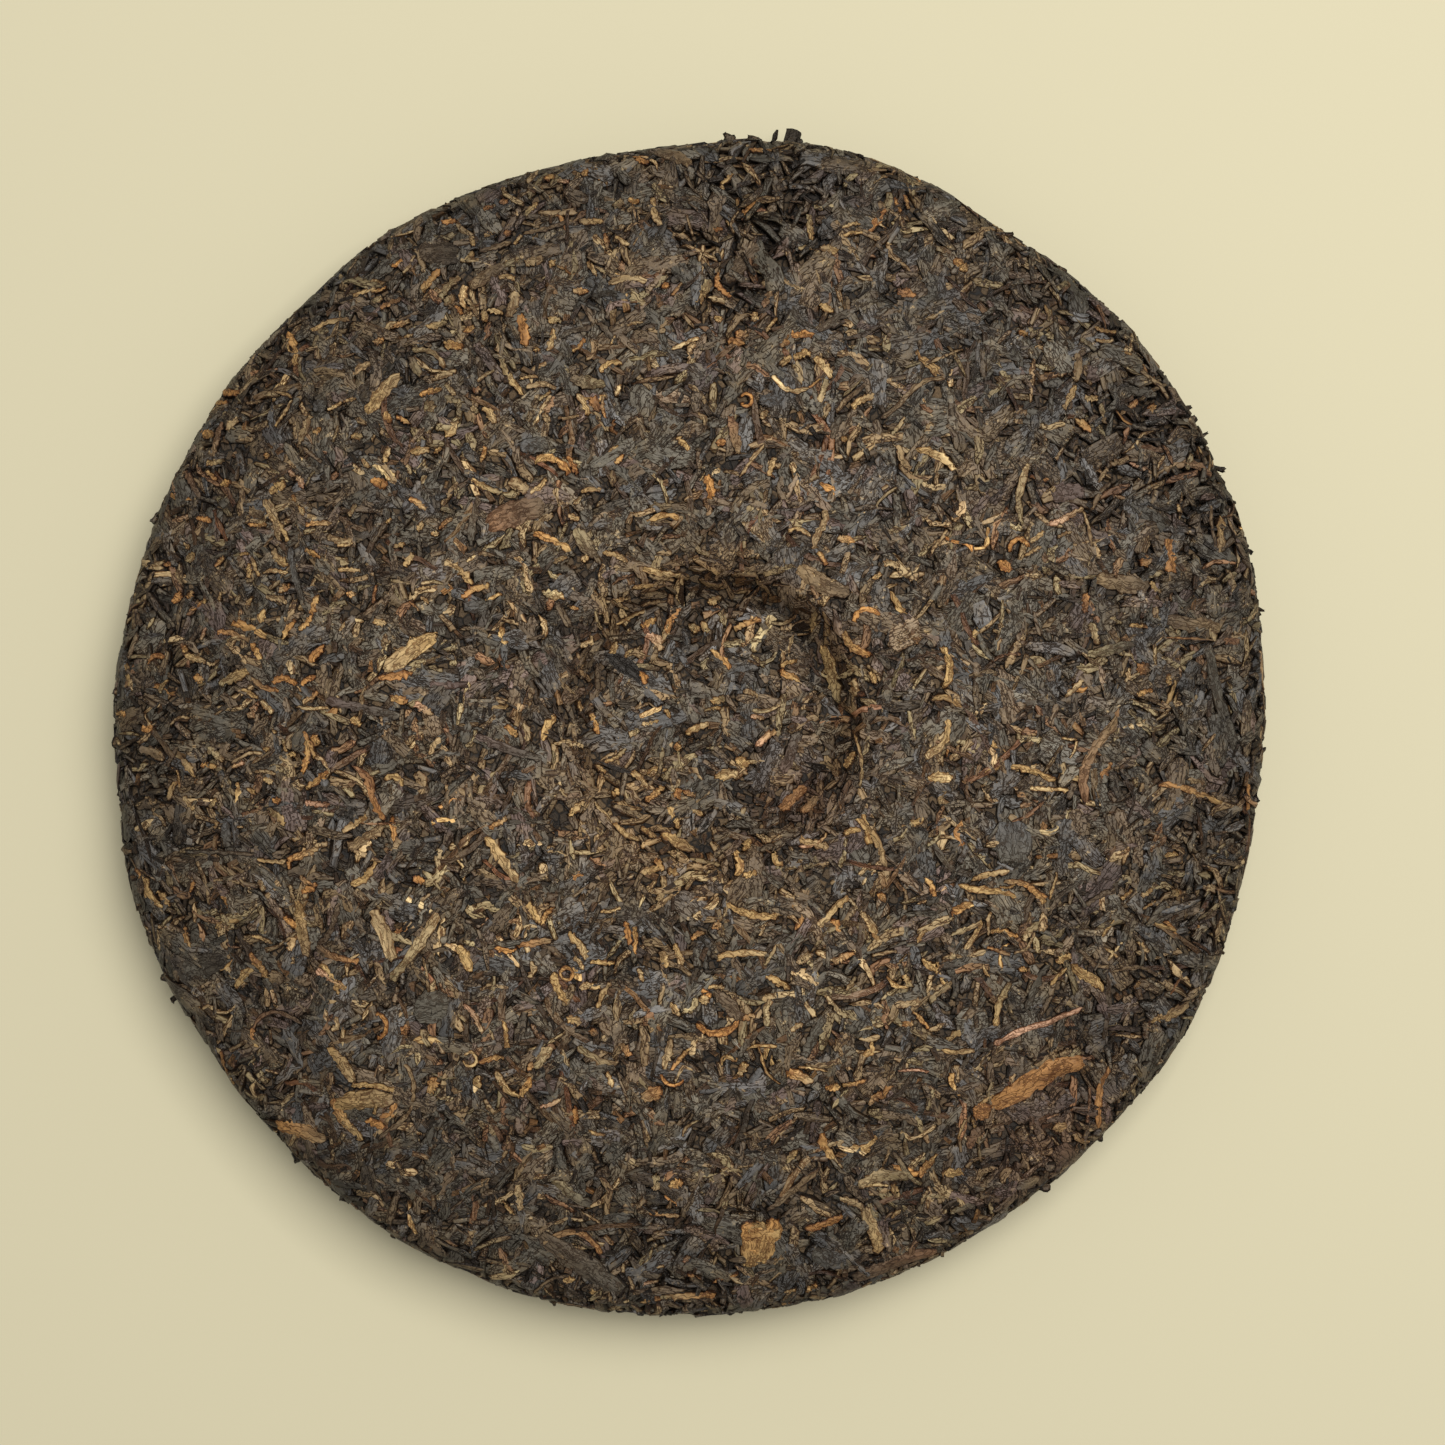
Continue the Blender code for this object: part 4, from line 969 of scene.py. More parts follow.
# Where a leaf's length and its two sides lie in its cell of the OFBake map: start and size, as shares
CELL_ALONG = (0.03, 0.94)
CELL_BELOW = (0.03, 0.07)
CELL_ABOVE = (0.16, 0.80)
CELL_ROWS_PER_COLUMN = 3

# Finishes: name, strength of streaks, of the painted shade in creases and cracks, of specks and of dust,
# roughness and depth of the relief in mm
FINISHES = {
    "dark_leaf_strips": ("dark leaf", 0.42, 0.9, 1.5, 0.34, 0.46, 0.28),
    "broad_dark_leaves": ("broad dark leaf", 0.36, 0.9, 1.4, 0.30, 0.46, 0.24),
    "brown_leaf_strips": ("brown leaf", 0.60, 0.9, 1.4, 0.18, 0.54, 0.26),
    "short_dark_leaves": ("short dark leaf", 0.40, 0.9, 1.5, 0.34, 0.46, 0.26),
    "leaf_crumbs": ("leaf crumb", 0.40, 0.7, 1.9, 0.30, 0.54, 0.22),
    "golden_buds": ("golden bud", 0.60, 0.6, 1.2, 0.05, 0.60, 0.24),
    "leaf_stems": ("stem", 0.60, 0.6, 1.7, 0.18, 0.48, 0.24),
}
LEAF_SHEEN = 0.20

# Patterns along a leaf, for each mm of it, and patterns in space, for each metre
STREAK_SCALE = (0.20, 1.25, 1.0)
FOLD_SCALE = (0.36, 1.3, 1.7)
BLOTCH_SCALE = (0.4, 0.6, 1.3)
SPECK_SCALE = 2400
DUST_SCALE = 210
FLECK_SCALE = 900
# Cracks, darkened as painted shade, and the patches they lie in
CRACK_SCALE = 800
CRACK_PATCH_SCALE = 300
# Painted shade along each leaf's edge, where it meets its neighbours: how far in it reaches, in mm, and how
# dark it gets
EDGE_SHADE_WIDTHS = (0.07, 0.33)
EDGE_SHADE_DARKNESS = 0.96
DARKEST_SHADE = 0.05

CORE_FACES = (140, 120)
CORE_TONES = ((28, 23, 18), (78, 62, 42))
CORE_PIECE_SCALE = 620
CORE_WANDER_SCALE = 500
CORE_WANDER = (0.0015, 0.0015, 0.0015)
CORE_GRAIN_SCALE = 2200
CORE_RELIEF = 0.3
CORE_ROUGHNESS = 0.75
CORE_SHEEN = 0.25

FLOOR_SIZE = 3
FLOOR_TONE = (163, 156, 130)
FLOOR_ROUGHNESS = 0.9
ROOM_LIGHT = (1.0, 0.99, 0.96)
ROOM_STRENGTH = 0.50
LAMP_SIZE = 0.9
LAMP_POWER = 30
LAMP_PLACE = (0.33, 0.38, 1.18)
SENSOR_WIDTH = 36


def deselect_all():
    """Leaves nothing selected, in object mode."""
    if bpy.context.mode != "OBJECT":
        bpy.ops.object.mode_set(mode="OBJECT")
    bpy.ops.object.select_all(action="DESELECT")


def select_points(leaf, wanted):
    """Selects the vertices whose places pass a test, and ends in edit mode."""
    bpy.ops.object.mode_set(mode="EDIT")
    bpy.ops.mesh.select_mode(type="VERT")
    bpy.ops.mesh.select_all(action="DESELECT")
    bpy.ops.object.mode_set(mode="OBJECT")
    for vertex in leaf.data.vertices:
        vertex.select = bool(wanted(vertex.co))
    bpy.ops.object.mode_set(mode="EDIT")


def scale_points(leaf, wanted, factors):
    select_points(leaf, wanted)
    bpy.ops.transform.resize(value=factors, center_override=(0, 0, 0))
    bpy.ops.object.mode_set(mode="OBJECT")


def move_points(leaf, wanted, offset):
    select_points(leaf, wanted)
    bpy.ops.transform.translate(value=offset)
    bpy.ops.object.mode_set(mode="OBJECT")


def widen_top(leaf, share):
    """Moves the rows beside the leaf's edges out, so that its bevels are narrow."""
    row = max(abs(vertex.co.y) for vertex in leaf.data.vertices if abs(vertex.co.y) < 0.4)
    scale_points(leaf, lambda point: abs(point.y) < 0.4, (1, share / row, 1))
    column = max(abs(vertex.co.x) for vertex in leaf.data.vertices if abs(vertex.co.x) < 0.49)
    scale_points(leaf, lambda point: abs(point.x) < 0.49, (max(TOP_LENGTH / column, 1), 1, 1))


def shape_width(leaf, along, profile):
    """Scales each row of points across the leaf to the width wanted there."""
    least, start, span, power = profile
    for place in sorted({round(vertex.co.x, 4) for vertex in leaf.data.vertices})[: along + 1]:
        wave = math.sin(math.pi * (start + span * (place + 0.5))) ** power
        width = least + (1 - least) * wave
        scale_points(leaf, lambda point, place=place: abs(point.x - place) < 0.01, (1, width, 1))


def close_leaf(leaf):
    """Presses the leaf's edge down and closes it below by one face."""
    bpy.ops.object.mode_set(mode="EDIT")
    bpy.ops.mesh.select_mode(type="EDGE")
    bpy.ops.mesh.select_all(action="SELECT")
    bpy.ops.mesh.region_to_loop()
    bpy.ops.transform.translate(value=(0, 0, -1))
    bpy.ops.mesh.edge_face_add()
    bpy.ops.mesh.select_all(action="SELECT")
    bpy.ops.mesh.normals_make_consistent(inside=False)
    deselect_all()


def model_leaf(name, along, across, profile, top_share, rough, seed, *pulls):
    """A leaf of one by one, its length along X: a grid given its width, roughened and closed below."""
    deselect_all()
    bpy.ops.mesh.primitive_grid_add(x_subdivisions=along, y_subdivisions=across, size=1)
    leaf = bpy.context.object
    leaf.name = name
    widen_top(leaf, top_share)
    shape_width(leaf, along, profile)
    for wanted, offset in pulls:
        move_points(leaf, wanted, offset)
    select_points(leaf, lambda point: True)
    bpy.ops.transform.vertex_random(offset=rough, uniform=0.0, normal=0.0, seed=seed)
    bpy.ops.object.mode_set(mode="OBJECT")
    close_leaf(leaf)
    return taken_template(leaf, along)


def taken_template(leaf, along):
    """The leaf's points, faces and distances from its edge as arrays; the object itself is removed."""
    mesh = leaf.data
    points = np.array([vertex.co for vertex in mesh.vertices])
    faces = [tuple(face.vertices) for face in mesh.polygons]
    is_edge = points[:, 2] < -0.5
    below = [index for index, face in enumerate(faces) if is_edge[list(face)].all()]
    sizes = np.array([len(face) for face in faces])
    row = np.arange(len(points)) % (along + 1)
    half = np.array([np.abs(points[row == number, 1]).max() for number in range(along + 1)])
    bpy.data.objects.remove(leaf)
    bpy.data.meshes.remove(mesh)
    return {
        "points": points,
        "corners": np.concatenate([np.array(face) for face in faces]),
        "sizes": sizes,
        "is_edge": is_edge,
        "to_side": np.where(is_edge, 0, half[row] - np.abs(points[:, 1])),
        "to_end": np.where(is_edge, 0, 0.5 - np.abs(points[:, 0])),
        "below": np.repeat(np.isin(np.arange(len(faces)), below), sizes),
    }


def spot_sum(spots, x, y):
    """The sum of round spots that fade outwards, each a row of x, y, spread and height."""
    total = np.zeros_like(x)
    for spot_x, spot_y, spread, height in spots:
        total = total + height * np.exp(-((x - spot_x) ** 2 + (y - spot_y) ** 2) / (2 * spread**2))
    return total


def looseness(x, y):
    """0 where leaves are pressed flat, 1 and more where they lie loose."""
    low, high = RIM_LOOSE_FROM
    at_rim = smooth_step(JOIN_RUN + low, JOIN_RUN + high, np.hypot(x, y))
    return spot_sum(LOOSE_SPOTS, x, y) + RIM_LOOSENESS * at_rim


def warmth(x, y):
    """-1 to 1: where brown leaves lie closer together than dark ones, by waves that shrink and turn."""
    total = 0
    for number in range(WARMTH_COUNT):
        shrink = WARMTH_SHRINK**number
        turn = 1 + number * GOLDEN_ANGLE
        run = (x * math.cos(turn) + y * math.sin(turn)) / (WARMTH_LENGTH * shrink)
        total = total + np.sin(math.tau * run + 5 * turn)
    return np.clip(total / math.sqrt(2 * WARMTH_COUNT), -1, 1)


def gold_density(x, y):
    """How many golden buds show at a place of the back, beside the mean."""
    loss = GOLDEN_LOSS * smooth_step(*GOLDEN_LOSS_FROM, -y)
    return (GOLDEN_ELSEWHERE + spot_sum(GOLDEN_SPOTS, x, y)) * (1 - loss)


def drawn_tones(draw, kind, count):
    """The tones of both ends of each leaf, drawn by their shares."""
    tones = np.array([srgb(*LEAF_TONES[name]) for name in kind["tones"]])
    shares = np.array(list(kind["tones"].values()))
    first = tones[draw.choice(len(tones), count, p=shares / shares.sum())]
    last = tones[draw.choice(len(tones), count, p=shares / shares.sum())]
    last = first + (last - first) * TONE_CHANGE * draw.random((count, 1))
    bright = np.exp(draw.normal(0, BRIGHTNESS_SPREAD, (count, 1)))
    return np.minimum(first * bright, BRIGHTEST), np.minimum(last * bright, BRIGHTEST)


def draw_leaves(draw, kind_number, under):
    """Random leaves of one kind over one side of the cake, as columns of numbers."""
    name, kind = list(LEAF_KINDS.items())[kind_number]
    reach_limit = (WHOLE_RUN - RIM_RUN if under else RIM_RUN) + REACH_PAST_RIM
    side_share = UNDER_SHARE if under else 1
    count = int(kind["density"] * math.pi * reach_limit**2 / 1000 * side_share)
    reach = reach_limit * np.sqrt(draw.random(count))
    angle = draw.random(count) * math.tau
    first, last = drawn_tones(draw, kind, count)
    x, y = reach * np.cos(angle), reach * np.sin(angle)
    loose = looseness(x, y) if not under else UNDER_LOOSENESS * smooth_step(*UNDER_LOOSE_FROM, reach)
    length = draw.uniform(*kind["length"], count)
    width = draw.uniform(*kind["width"], count) * (1 - LOOSE_NARROWING * np.minimum(loose, 1))
    lift, lift_spread = kind["lift"]
    leaves = {
        "x": x,
        "y": y,
        "length": length,
        "width": width,
        "crown": np.minimum(width * draw.normal(*CROWN, count), HIGHEST_CROWN),
        "fold": np.minimum(width, WIDEST_FOLD) * FOLD * draw.uniform(*FOLD_SPREAD, count),
        "thick": np.full(count, kind["thick"]) * draw.uniform(*THICKNESS_SPREAD, count),
        "heading": draw.random(count) * math.tau,
        "bend": np.radians(draw.normal(0, 1, count) * kind["bend"]),
        "sway": np.radians(draw.normal(0, 1, count) * kind["sway"]),
        "lift": lift + lift_spread * draw.normal(0, 1, count) * (1 + LOOSE_LIFT * loose),
        "tilt_along": draw.normal(0, TILT_ALONG, count) * (1 + LOOSE_TILT_ALONG * loose),
        "tilt_across": draw.normal(0, TILT_ACROSS, count) * (1 + LOOSE_TILT_ACROSS * loose),
        "level": PRESSED_LEVEL * (1 + LOOSE_LEVEL * loose),
        "first": first,
        "last": last,
        "mark": draw.random(count) * MARK_RANGE,
        "template": draw.integers(0, len(kind["templates"]), count),
        "kind": np.full(count, kind_number),
        "shown": np.zeros(count, bool),
    }
    if name == "golden_buds" and not under:
        share = gold_density(x, y)
    else:
        mean, change = WARMTH_SHARES.get(name, (1, 0))
        share = mean + change * warmth(x, y)
    leaves = chosen(leaves, draw.random(count) < share)
    return leaves if under else along_dimple_wall(leaves, draw)


def along_dimple_wall(leaves, draw):
    """Makes the leaves on the dimple's wall short and lays them along it."""
    off_x, off_y = leaves["x"] - DIMPLE_CENTRE[0], leaves["y"] - DIMPLE_CENTRE[1]
    reach = np.hypot(off_x, off_y)
    inside, outside = WALL_MARGINS
    on_wall = (reach > DIMPLE_FLOOR_RADIUS - inside) & (reach < DIMPLE_LIP_RADIUS + outside)
    along = np.arctan2(off_y, off_x) + math.pi / 2 + draw.normal(0, WALL_TURN_SPREAD, len(reach))
    leaves["heading"] = np.where(on_wall, along, leaves["heading"])
    for measure, most in zip(("length", "width"), WALL_LEAF_SIZE):
        leaves[measure] = np.where(on_wall, np.minimum(leaves[measure], most), leaves[measure])
    return leaves


def chosen(leaves, keep):
    return {name: column[keep] for name, column in leaves.items()}


def together(groups):
    return {name: np.concatenate([group[name] for group in groups]) for name in groups[0]}


def under_picture(picture_x, picture_y, share):
    """The place, in mm, under a point of the picture, at this share of the rim's distance from the camera."""
    x = FRAME_CENTRE[0] + (picture_x - FRAME_POINTS / 2) * POINT * share
    y = FRAME_CENTRE[1] + (FRAME_POINTS / 2 - picture_y) * POINT * share
    return x, y


def over_the_cake(picture_x, picture_y):
    """The place on the unrolled back that lies under a point of the picture."""
    rise = 0.0
    for _ in range(4):
        x, y = under_picture(picture_x, picture_y, (SIGHT_HEIGHT - rise) / SIGHT_HEIGHT)
        angle = math.atan2(y, x)
        reach = math.hypot(x, y)
        radius = reach / stretch(angle, reach)
        run = float(np.interp(radius, MERIDIAN_RADII[:STEPS_TO_RIM], MERIDIAN_RUNS[:STEPS_TO_RIM]))
        x, y = run * math.cos(angle), run * math.sin(angle)
        rise = float(skin(np.array(x), np.array(y), False)[2]) - RIM_LEVEL
    return x, y


def shown_leaves(draw):
    """The leaves that stand out, as columns of numbers."""
    rows = [(*row, first, last) for (first, last), group in SHOWN_LEAVES.items() for row in group]
    count = len(rows)
    ends = [(over_the_cake(*row[:2]), over_the_cake(*row[2:4])) for row in rows]
    start, end = np.array([pair[0] for pair in ends]), np.array([pair[1] for pair in ends])
    chord = np.hypot(*(end - start).T)
    bow = np.array([row[5] for row in rows]) * POINT
    bend = -8 * bow / chord
    tones = np.array([[srgb(*LEAF_TONES[name]) for name in row[7:]] for row in rows])
    heading = np.arctan2(end[:, 1] - start[:, 1], end[:, 0] - start[:, 0])
    width = np.array([row[4] for row in rows]) * POINT
    return {
        "x": (start[:, 0] + end[:, 0]) / 2 - np.sin(heading) * bow / 3,
        "y": (start[:, 1] + end[:, 1]) / 2 + np.cos(heading) * bow / 3,
        "length": chord * (1 + bend**2 / 24),
        "width": width,
        "crown": np.minimum(width * SHOWN_CROWN, SHOWN_HIGHEST_CROWN),
        "fold": np.minimum(width, SHOWN_WIDEST_FOLD) * SHOWN_FOLD,
        "thick": np.full(count, SHOWN_THICKNESS),
        "heading": heading,
        "bend": bend,
        "sway": np.radians(draw.normal(0, SHOWN_SWAY, count)),
        "lift": draw.normal(*SHOWN_LIFT, count) + SHOWN_WIDE_LIFT * smooth_step(*SHOWN_WIDE, width),
        "tilt_along": np.zeros(count),
        "tilt_across": np.zeros(count),
        "level": np.full(count, SHOWN_LEVEL),
        "first": tones[:, 0],
        "last": tones[:, 1],
        "mark": draw.random(count) * MARK_RANGE,
        "template": np.array([row[6] for row in rows]),
        "kind": np.full(count, -1),
        "shown": np.ones(count, bool),
    }


def rim_places(picture_x, picture_y, level):
    """Places at this height, in mm, that lie under points of the picture."""
    x, y = under_picture(picture_x, picture_y, (SIGHT_HEIGHT + RIM_LEVEL - level) / SIGHT_HEIGHT)
    return np.stack([x, y, level], -1)


def rim_flakes(draw):
    """The flakes that stand out from the rim: those that the picture shows, and small ones all round."""
    rows = np.array([row[:5] for row in SHOWN_RIM_FLAKES], float)
    level = draw.uniform(*RIM_FLAKE_HEIGHT, len(rows))
    shown_root = rim_places(rows[:, 0], rows[:, 1], level)
    shown_tip = rim_places(rows[:, 2], rows[:, 3], level + draw.normal(0, RIM_FLAKE_SLOPE, len(rows)))
    count = SMALL_RIM_FLAKES
    angle = (np.arange(count) + draw.random(count)) * math.tau / count
    run = draw.uniform(JOIN_RUN + SMALL_RIM_FLAKE_MARGIN, LOW_JOIN_RUN - SMALL_RIM_FLAKE_MARGIN, count)
    out = np.stack([np.cos(angle), np.sin(angle), np.zeros_like(angle)], -1)
    under_run = WHOLE_RUN - run
    tip = np.where(
        (run < RIM_RUN)[:, None],
        skin(run * out[:, 0], run * out[:, 1], False),
        skin(under_run * out[:, 0], under_run * out[:, 1], True),
    )
    tip = tip + out * draw.uniform(*SMALL_RIM_FLAKE_REACH, (count, 1))
    along_rim = np.stack([-out[:, 1], out[:, 0], draw.normal(0, SMALL_RIM_FLAKE_SLOPE, count)], -1)
    back = out + along_rim * draw.normal(0, SMALL_RIM_FLAKE_LEAN, (count, 1))
    back /= np.linalg.norm(back, axis=1, keepdims=True)
    root = tip - back * draw.uniform(*SMALL_RIM_FLAKE_LENGTH, (count, 1))
    names = [row[5] for row in SHOWN_RIM_FLAKES] + list(draw.choice(SMALL_RIM_FLAKE_TONES, count))
    shown_width = rows[:, 4] * FRAME_WIDTH / FRAME_POINTS
    return {
        "root": np.concatenate([shown_root, root]),
        "tip": np.concatenate([shown_tip, tip]),
        "width": np.concatenate([shown_width, draw.uniform(*SMALL_RIM_FLAKE_WIDTH, count)]),
        "tone": np.array([srgb(*LEAF_TONES[name]) for name in names]),
        "turn": draw.normal(0, RIM_FLAKE_TURN, len(names)),
        "curl": draw.normal(0, RIM_FLAKE_CURL, len(names)),
        "mark": draw.random(len(names)) * MARK_RANGE,
    }


def rim_flake_mesh(flakes, templates, draw):
    """One mesh of the flakes that stand out from the rim."""
    patches = []
    total = len(flakes["width"])
    for number in range(total):
        flake = {name: column[number] for name, column in flakes.items()}
        template = templates[RIM_FLAKE_TEMPLATES[number % len(RIM_FLAKE_TEMPLATES)]]
        along, across, sunk = template["points"].T
        size = len(along)
        axis = flake["tip"] - flake["root"]
        length = np.linalg.norm(axis)
        axis = axis / length
        side = np.cross((0, 0, 1), axis)
        side /= np.linalg.norm(side)
        above = np.cross(axis, side)
        cos, sin = math.cos(flake["turn"]), math.sin(flake["turn"])
        side, above = side * cos + above * sin, above * cos - side * sin
        rise = sunk * RIM_FLAKE_THICKNESS + flake["curl"] * (along + 0.5) ** 2
        width = flake["width"]
        place = (
            flake["root"]
            + axis * ((along + 0.5) * length)[:, None]
            + side * (across * width)[:, None]
            + above * rise[:, None]
            + draw.normal(0, RIM_FLAKE_CRUMPLE, (size, 3))
        )
        place[:, 2] = settled(place[:, 2])
        patches.append((
            place * MM,
            template["corners"],
            template["sizes"],
            tinted_and_shaded(np.broadcast_to(flake["tone"], (size, 3)), place[:, 0], place[:, 1]),
            np.stack([along * length, across * width, np.full(size, flake["mark"])], -1),
            np.minimum(template["to_side"] * width, template["to_end"] * length),
            cell_places(template, np.array([number]), total),
        ))
    return joined_mesh("rim_flakes", patches)


def flat_places(leaves, along, across):
    """Where points of leaves fall on the unrolled cake, by their places of -0.5 to 0.5 along and across."""
    middle = (np.arange(CENTRE_LINE_STEPS) + 0.5) / CENTRE_LINE_STEPS - 0.5
    sway = leaves["sway"][:, None] * np.sin(math.tau * middle + leaves["mark"][:, None])
    turn = leaves["bend"][:, None] * middle + sway
    step = leaves["length"][:, None] / CENTRE_LINE_STEPS
    line_x = np.concatenate([np.zeros((len(turn), 1)), np.cumsum(np.cos(turn) * step, 1)], 1)
    line_y = np.concatenate([np.zeros((len(turn), 1)), np.cumsum(np.sin(turn) * step, 1)], 1)
    line_x -= line_x.mean(1, keepdims=True)
    line_y -= line_y.mean(1, keepdims=True)
    place = np.clip((along + 0.5) * CENTRE_LINE_STEPS, 0, CENTRE_LINE_STEPS - 1e-6)
    low = place.astype(int)
    part = place - low
    x = line_x[:, low] * (1 - part) + line_x[:, low + 1] * part
    y = line_y[:, low] * (1 - part) + line_y[:, low + 1] * part
    direction = turn[:, np.minimum(low, CENTRE_LINE_STEPS - 1)]
    side = across * leaves["width"][:, None]
    x = x - side * np.sin(direction)
    y = y + side * np.cos(direction)
    cos, sin = np.cos(leaves["heading"])[:, None], np.sin(leaves["heading"])[:, None]
    return leaves["x"][:, None] + x * cos - y * sin, leaves["y"][:, None] + x * sin + y * cos


def lifts(leaves, along, across, sunk):
    """How far points of each leaf stand out of the skin: a leaf's own height and tilt, pressed level."""
    height = (
        leaves["lift"][:, None]
        + leaves["tilt_along"][:, None] * along * leaves["length"][:, None]
        + leaves["tilt_across"][:, None] * across * leaves["width"][:, None]
    )
    level = leaves["level"][:, None]
    height = np.where(height > 0, level * (1 - np.exp(-height / level)), height)
    arch = ARCH_SHARE - np.minimum((across / CREST_HALF_WIDTH) ** 2, 1)
    along_waves, across_waves = FOLD_WAVES
    waves = np.cos(math.tau * (across_waves * across + along_waves * along) + leaves["mark"][:, None])
    height = height + leaves["crown"][:, None] * arch + leaves["fold"][:, None] * waves
    return height - sunk * leaves["thick"][:, None]


def seen_leaves(leaves, under):
    """Which leaves show enough of themselves on top, by a fine grid of cells over the unrolled cake."""
    spans = [np.linspace(-reach, reach, count) for reach, count in zip(SIGHT_REACH, SIGHT_GRID)]
    along, across = [grid.ravel() for grid in np.meshgrid(*spans)]
    x, y = flat_places(leaves, along, across)
    height = lifts(leaves, along, across, np.zeros_like(along))
    cell_x = np.floor(x / VISIBLE_CELL).astype(np.int64) + CELLS_EACH_WAY
    cell_y = np.floor(y / VISIBLE_CELL).astype(np.int64) + CELLS_EACH_WAY
    cell = (cell_x * 2 * CELLS_EACH_WAY + cell_y).ravel()
    owner = np.repeat(np.arange(len(x)), len(along))
    order = np.lexsort((height.ravel(), cell))
    cell, owner = cell[order], owner[order]
    top = np.append(cell[1:] != cell[:-1], True)
    area = np.bincount(owner[top], minlength=len(x)) * VISIBLE_CELL**2
    return (area > LEAST_VISIBLE[under]) | leaves["shown"]


def leaf_mesh(name, leaves, templates, names, draw, under):
    """One mesh of all the leaves of a kind, with their colours and runs as attributes."""
    patches = []
    number = 0
    for index, template_name in enumerate(names):
        group = chosen(leaves, leaves["template"] == index)
        count = len(group["x"])
        if not count:
            continue
        template = templates[template_name]
        along, across, sunk = template["points"].T
        size = len(along)
        length, width, mark = (group[column][:, None] for column in ("length", "width", "mark"))
        flat_x, flat_y = flat_places(group, along, across)
        ragged = np.minimum(CRUMPLE_ACROSS, CRUMPLE_SHARE * width)
        flat_x = flat_x + ragged * draw.normal(0, 1, flat_x.shape)
        flat_y = flat_y + ragged * draw.normal(0, 1, flat_y.shape)
        lift = lifts(group, along, across, -sunk)
        lift = lift + np.where(template["is_edge"], 0, CRUMPLE_UP) * draw.normal(0, 1, lift.shape)
        share = (along + 0.5)[None, :, None]
        tone = group["first"][:, None] * (1 - share) + group["last"][:, None] * share
        run = np.stack([along * length, across * width, np.broadcast_to(mark, (count, size))], -1)
        patches.append((
            raised(flat_x, flat_y, lift, under).reshape(-1, 3) * MM,
            (template["corners"] + np.arange(count)[:, None] * size).ravel(),
            np.tile(template["sizes"], count),
            (tone if under else tinted_and_shaded(tone, flat_x, flat_y)).reshape(-1, 3),
            run.reshape(-1, 3),
            np.minimum(template["to_side"] * width, template["to_end"] * length).ravel(),
            cell_places(template, number + np.arange(count), len(leaves["x"])),
        ))
        number += count
    return joined_mesh(name, patches)


def tinted_and_shaded(tone, flat_x, flat_y):
    """Leaf tones with the tints of their places mixed in, and painted shade: darker towards the rim, and on
    the dimple's upper wall and lip.
    """
    # Painted shade: darker towards the rim, where the shoulder turns from the light
    at_rim = smooth_step(*RIM_SHADE_FROM, np.hypot(flat_x, flat_y))
    tone = tone * (1 - RIM_PAINTED_SHADE * at_rim)[..., None]
    # The dimple's wall: a brown tint all round, and painted shade on its upper side, towards the light
    off_x, off_y = flat_x - DIMPLE_CENTRE[0], flat_y - DIMPLE_CENTRE[1]
    from_wall = (np.hypot(off_x, off_y) - WALL_TINT_RADIUS) / WALL_TINT_SPREAD
    mean, change = WALL_TINT_AND_SHADE_SIDES
    side = mean + change * np.cos(np.arctan2(off_y, off_x) - math.radians(WALL_SHADE_ANGLE))
    near = (WALL_TINT_SHARE * side * np.exp(-(from_wall**2) / 2))[..., None]
    tone = tone * (1 - near) + srgb(*WALL_TINT_AND_SHADE) * near
    # Tints of places; the one on the dimple's upper lip is painted shade
    for spot_x, spot_y, spread, tint, share in TINTED_AND_SHADED_SPOTS:
        near = spot_sum(((spot_x, spot_y, spread, share),), flat_x, flat_y)[..., None]
        tone = tone * (1 - near) + srgb(*tint) * near
    return tone


def cell_places(template, numbers, total):
    """A place on the OFBake map for every corner: each leaf has a cell, its underside a strip of it."""
    columns = math.ceil(math.sqrt(total / CELL_ROWS_PER_COLUMN))
    rows = math.ceil(total / columns)
    along, across = template["points"][template["corners"], :2].T
    along = np.clip(along + 0.5, 0, 1) * CELL_ALONG[1] + CELL_ALONG[0]
    across = np.clip(across + 0.5, 0, 1)
    below, above = (start + size * across for start, size in (CELL_BELOW, CELL_ABOVE))
    across = np.where(template["below"], below, above)
    column, row = numbers % columns, numbers // columns
    u = (column[:, None] + along[None]) / columns
    v = (row[:, None] + across[None]) / rows
    return np.stack([u, v], -1).reshape(-1, 2)


def joined_mesh(name, patches):
    """One mesh of patches: points, corners, face sizes, tones, runs, distances from edges, map places."""
    points, corners, sizes, tones, runs, rims, places = (np.concatenate(part) for part in zip(*patches))
    counts = [len(patch[0]) for patch in patches]
    corners = corners + np.repeat(np.cumsum(counts) - counts, [len(patch[1]) for patch in patches])
    mesh = bpy.data.meshes.new(name)
    mesh.vertices.add(len(points))
    mesh.vertices.foreach_set("co", points.ravel())
    mesh.loops.add(len(corners))
    mesh.loops.foreach_set("vertex_index", corners.astype(np.int32))
    mesh.polygons.add(len(sizes))
    mesh.polygons.foreach_set("loop_start", (np.cumsum(sizes) - sizes).astype(np.int32))
    mesh.update(calc_edges=True)
    mesh.validate()
    tones = np.concatenate([tones, np.ones((len(tones), 1))], 1)
    for attribute, kind, field, values in (
        ("leaf_tone", "FLOAT_COLOR", "color", tones),
        ("leaf_run", "FLOAT_VECTOR", "vector", runs),
        ("leaf_rim", "FLOAT", "value", rims),
    ):
        mesh.attributes.new(attribute, kind, "POINT").data.foreach_set(field, values.ravel())
    mesh.uv_layers.new(name="OFBake").data.foreach_set("uv", places.ravel())
    mesh.shade_smooth()
    mesh.set_sharp_from_angle(angle=SHARP_ANGLE)
    made = bpy.data.objects.new(name, mesh)
    bpy.context.scene.collection.objects.link(made)
    return made


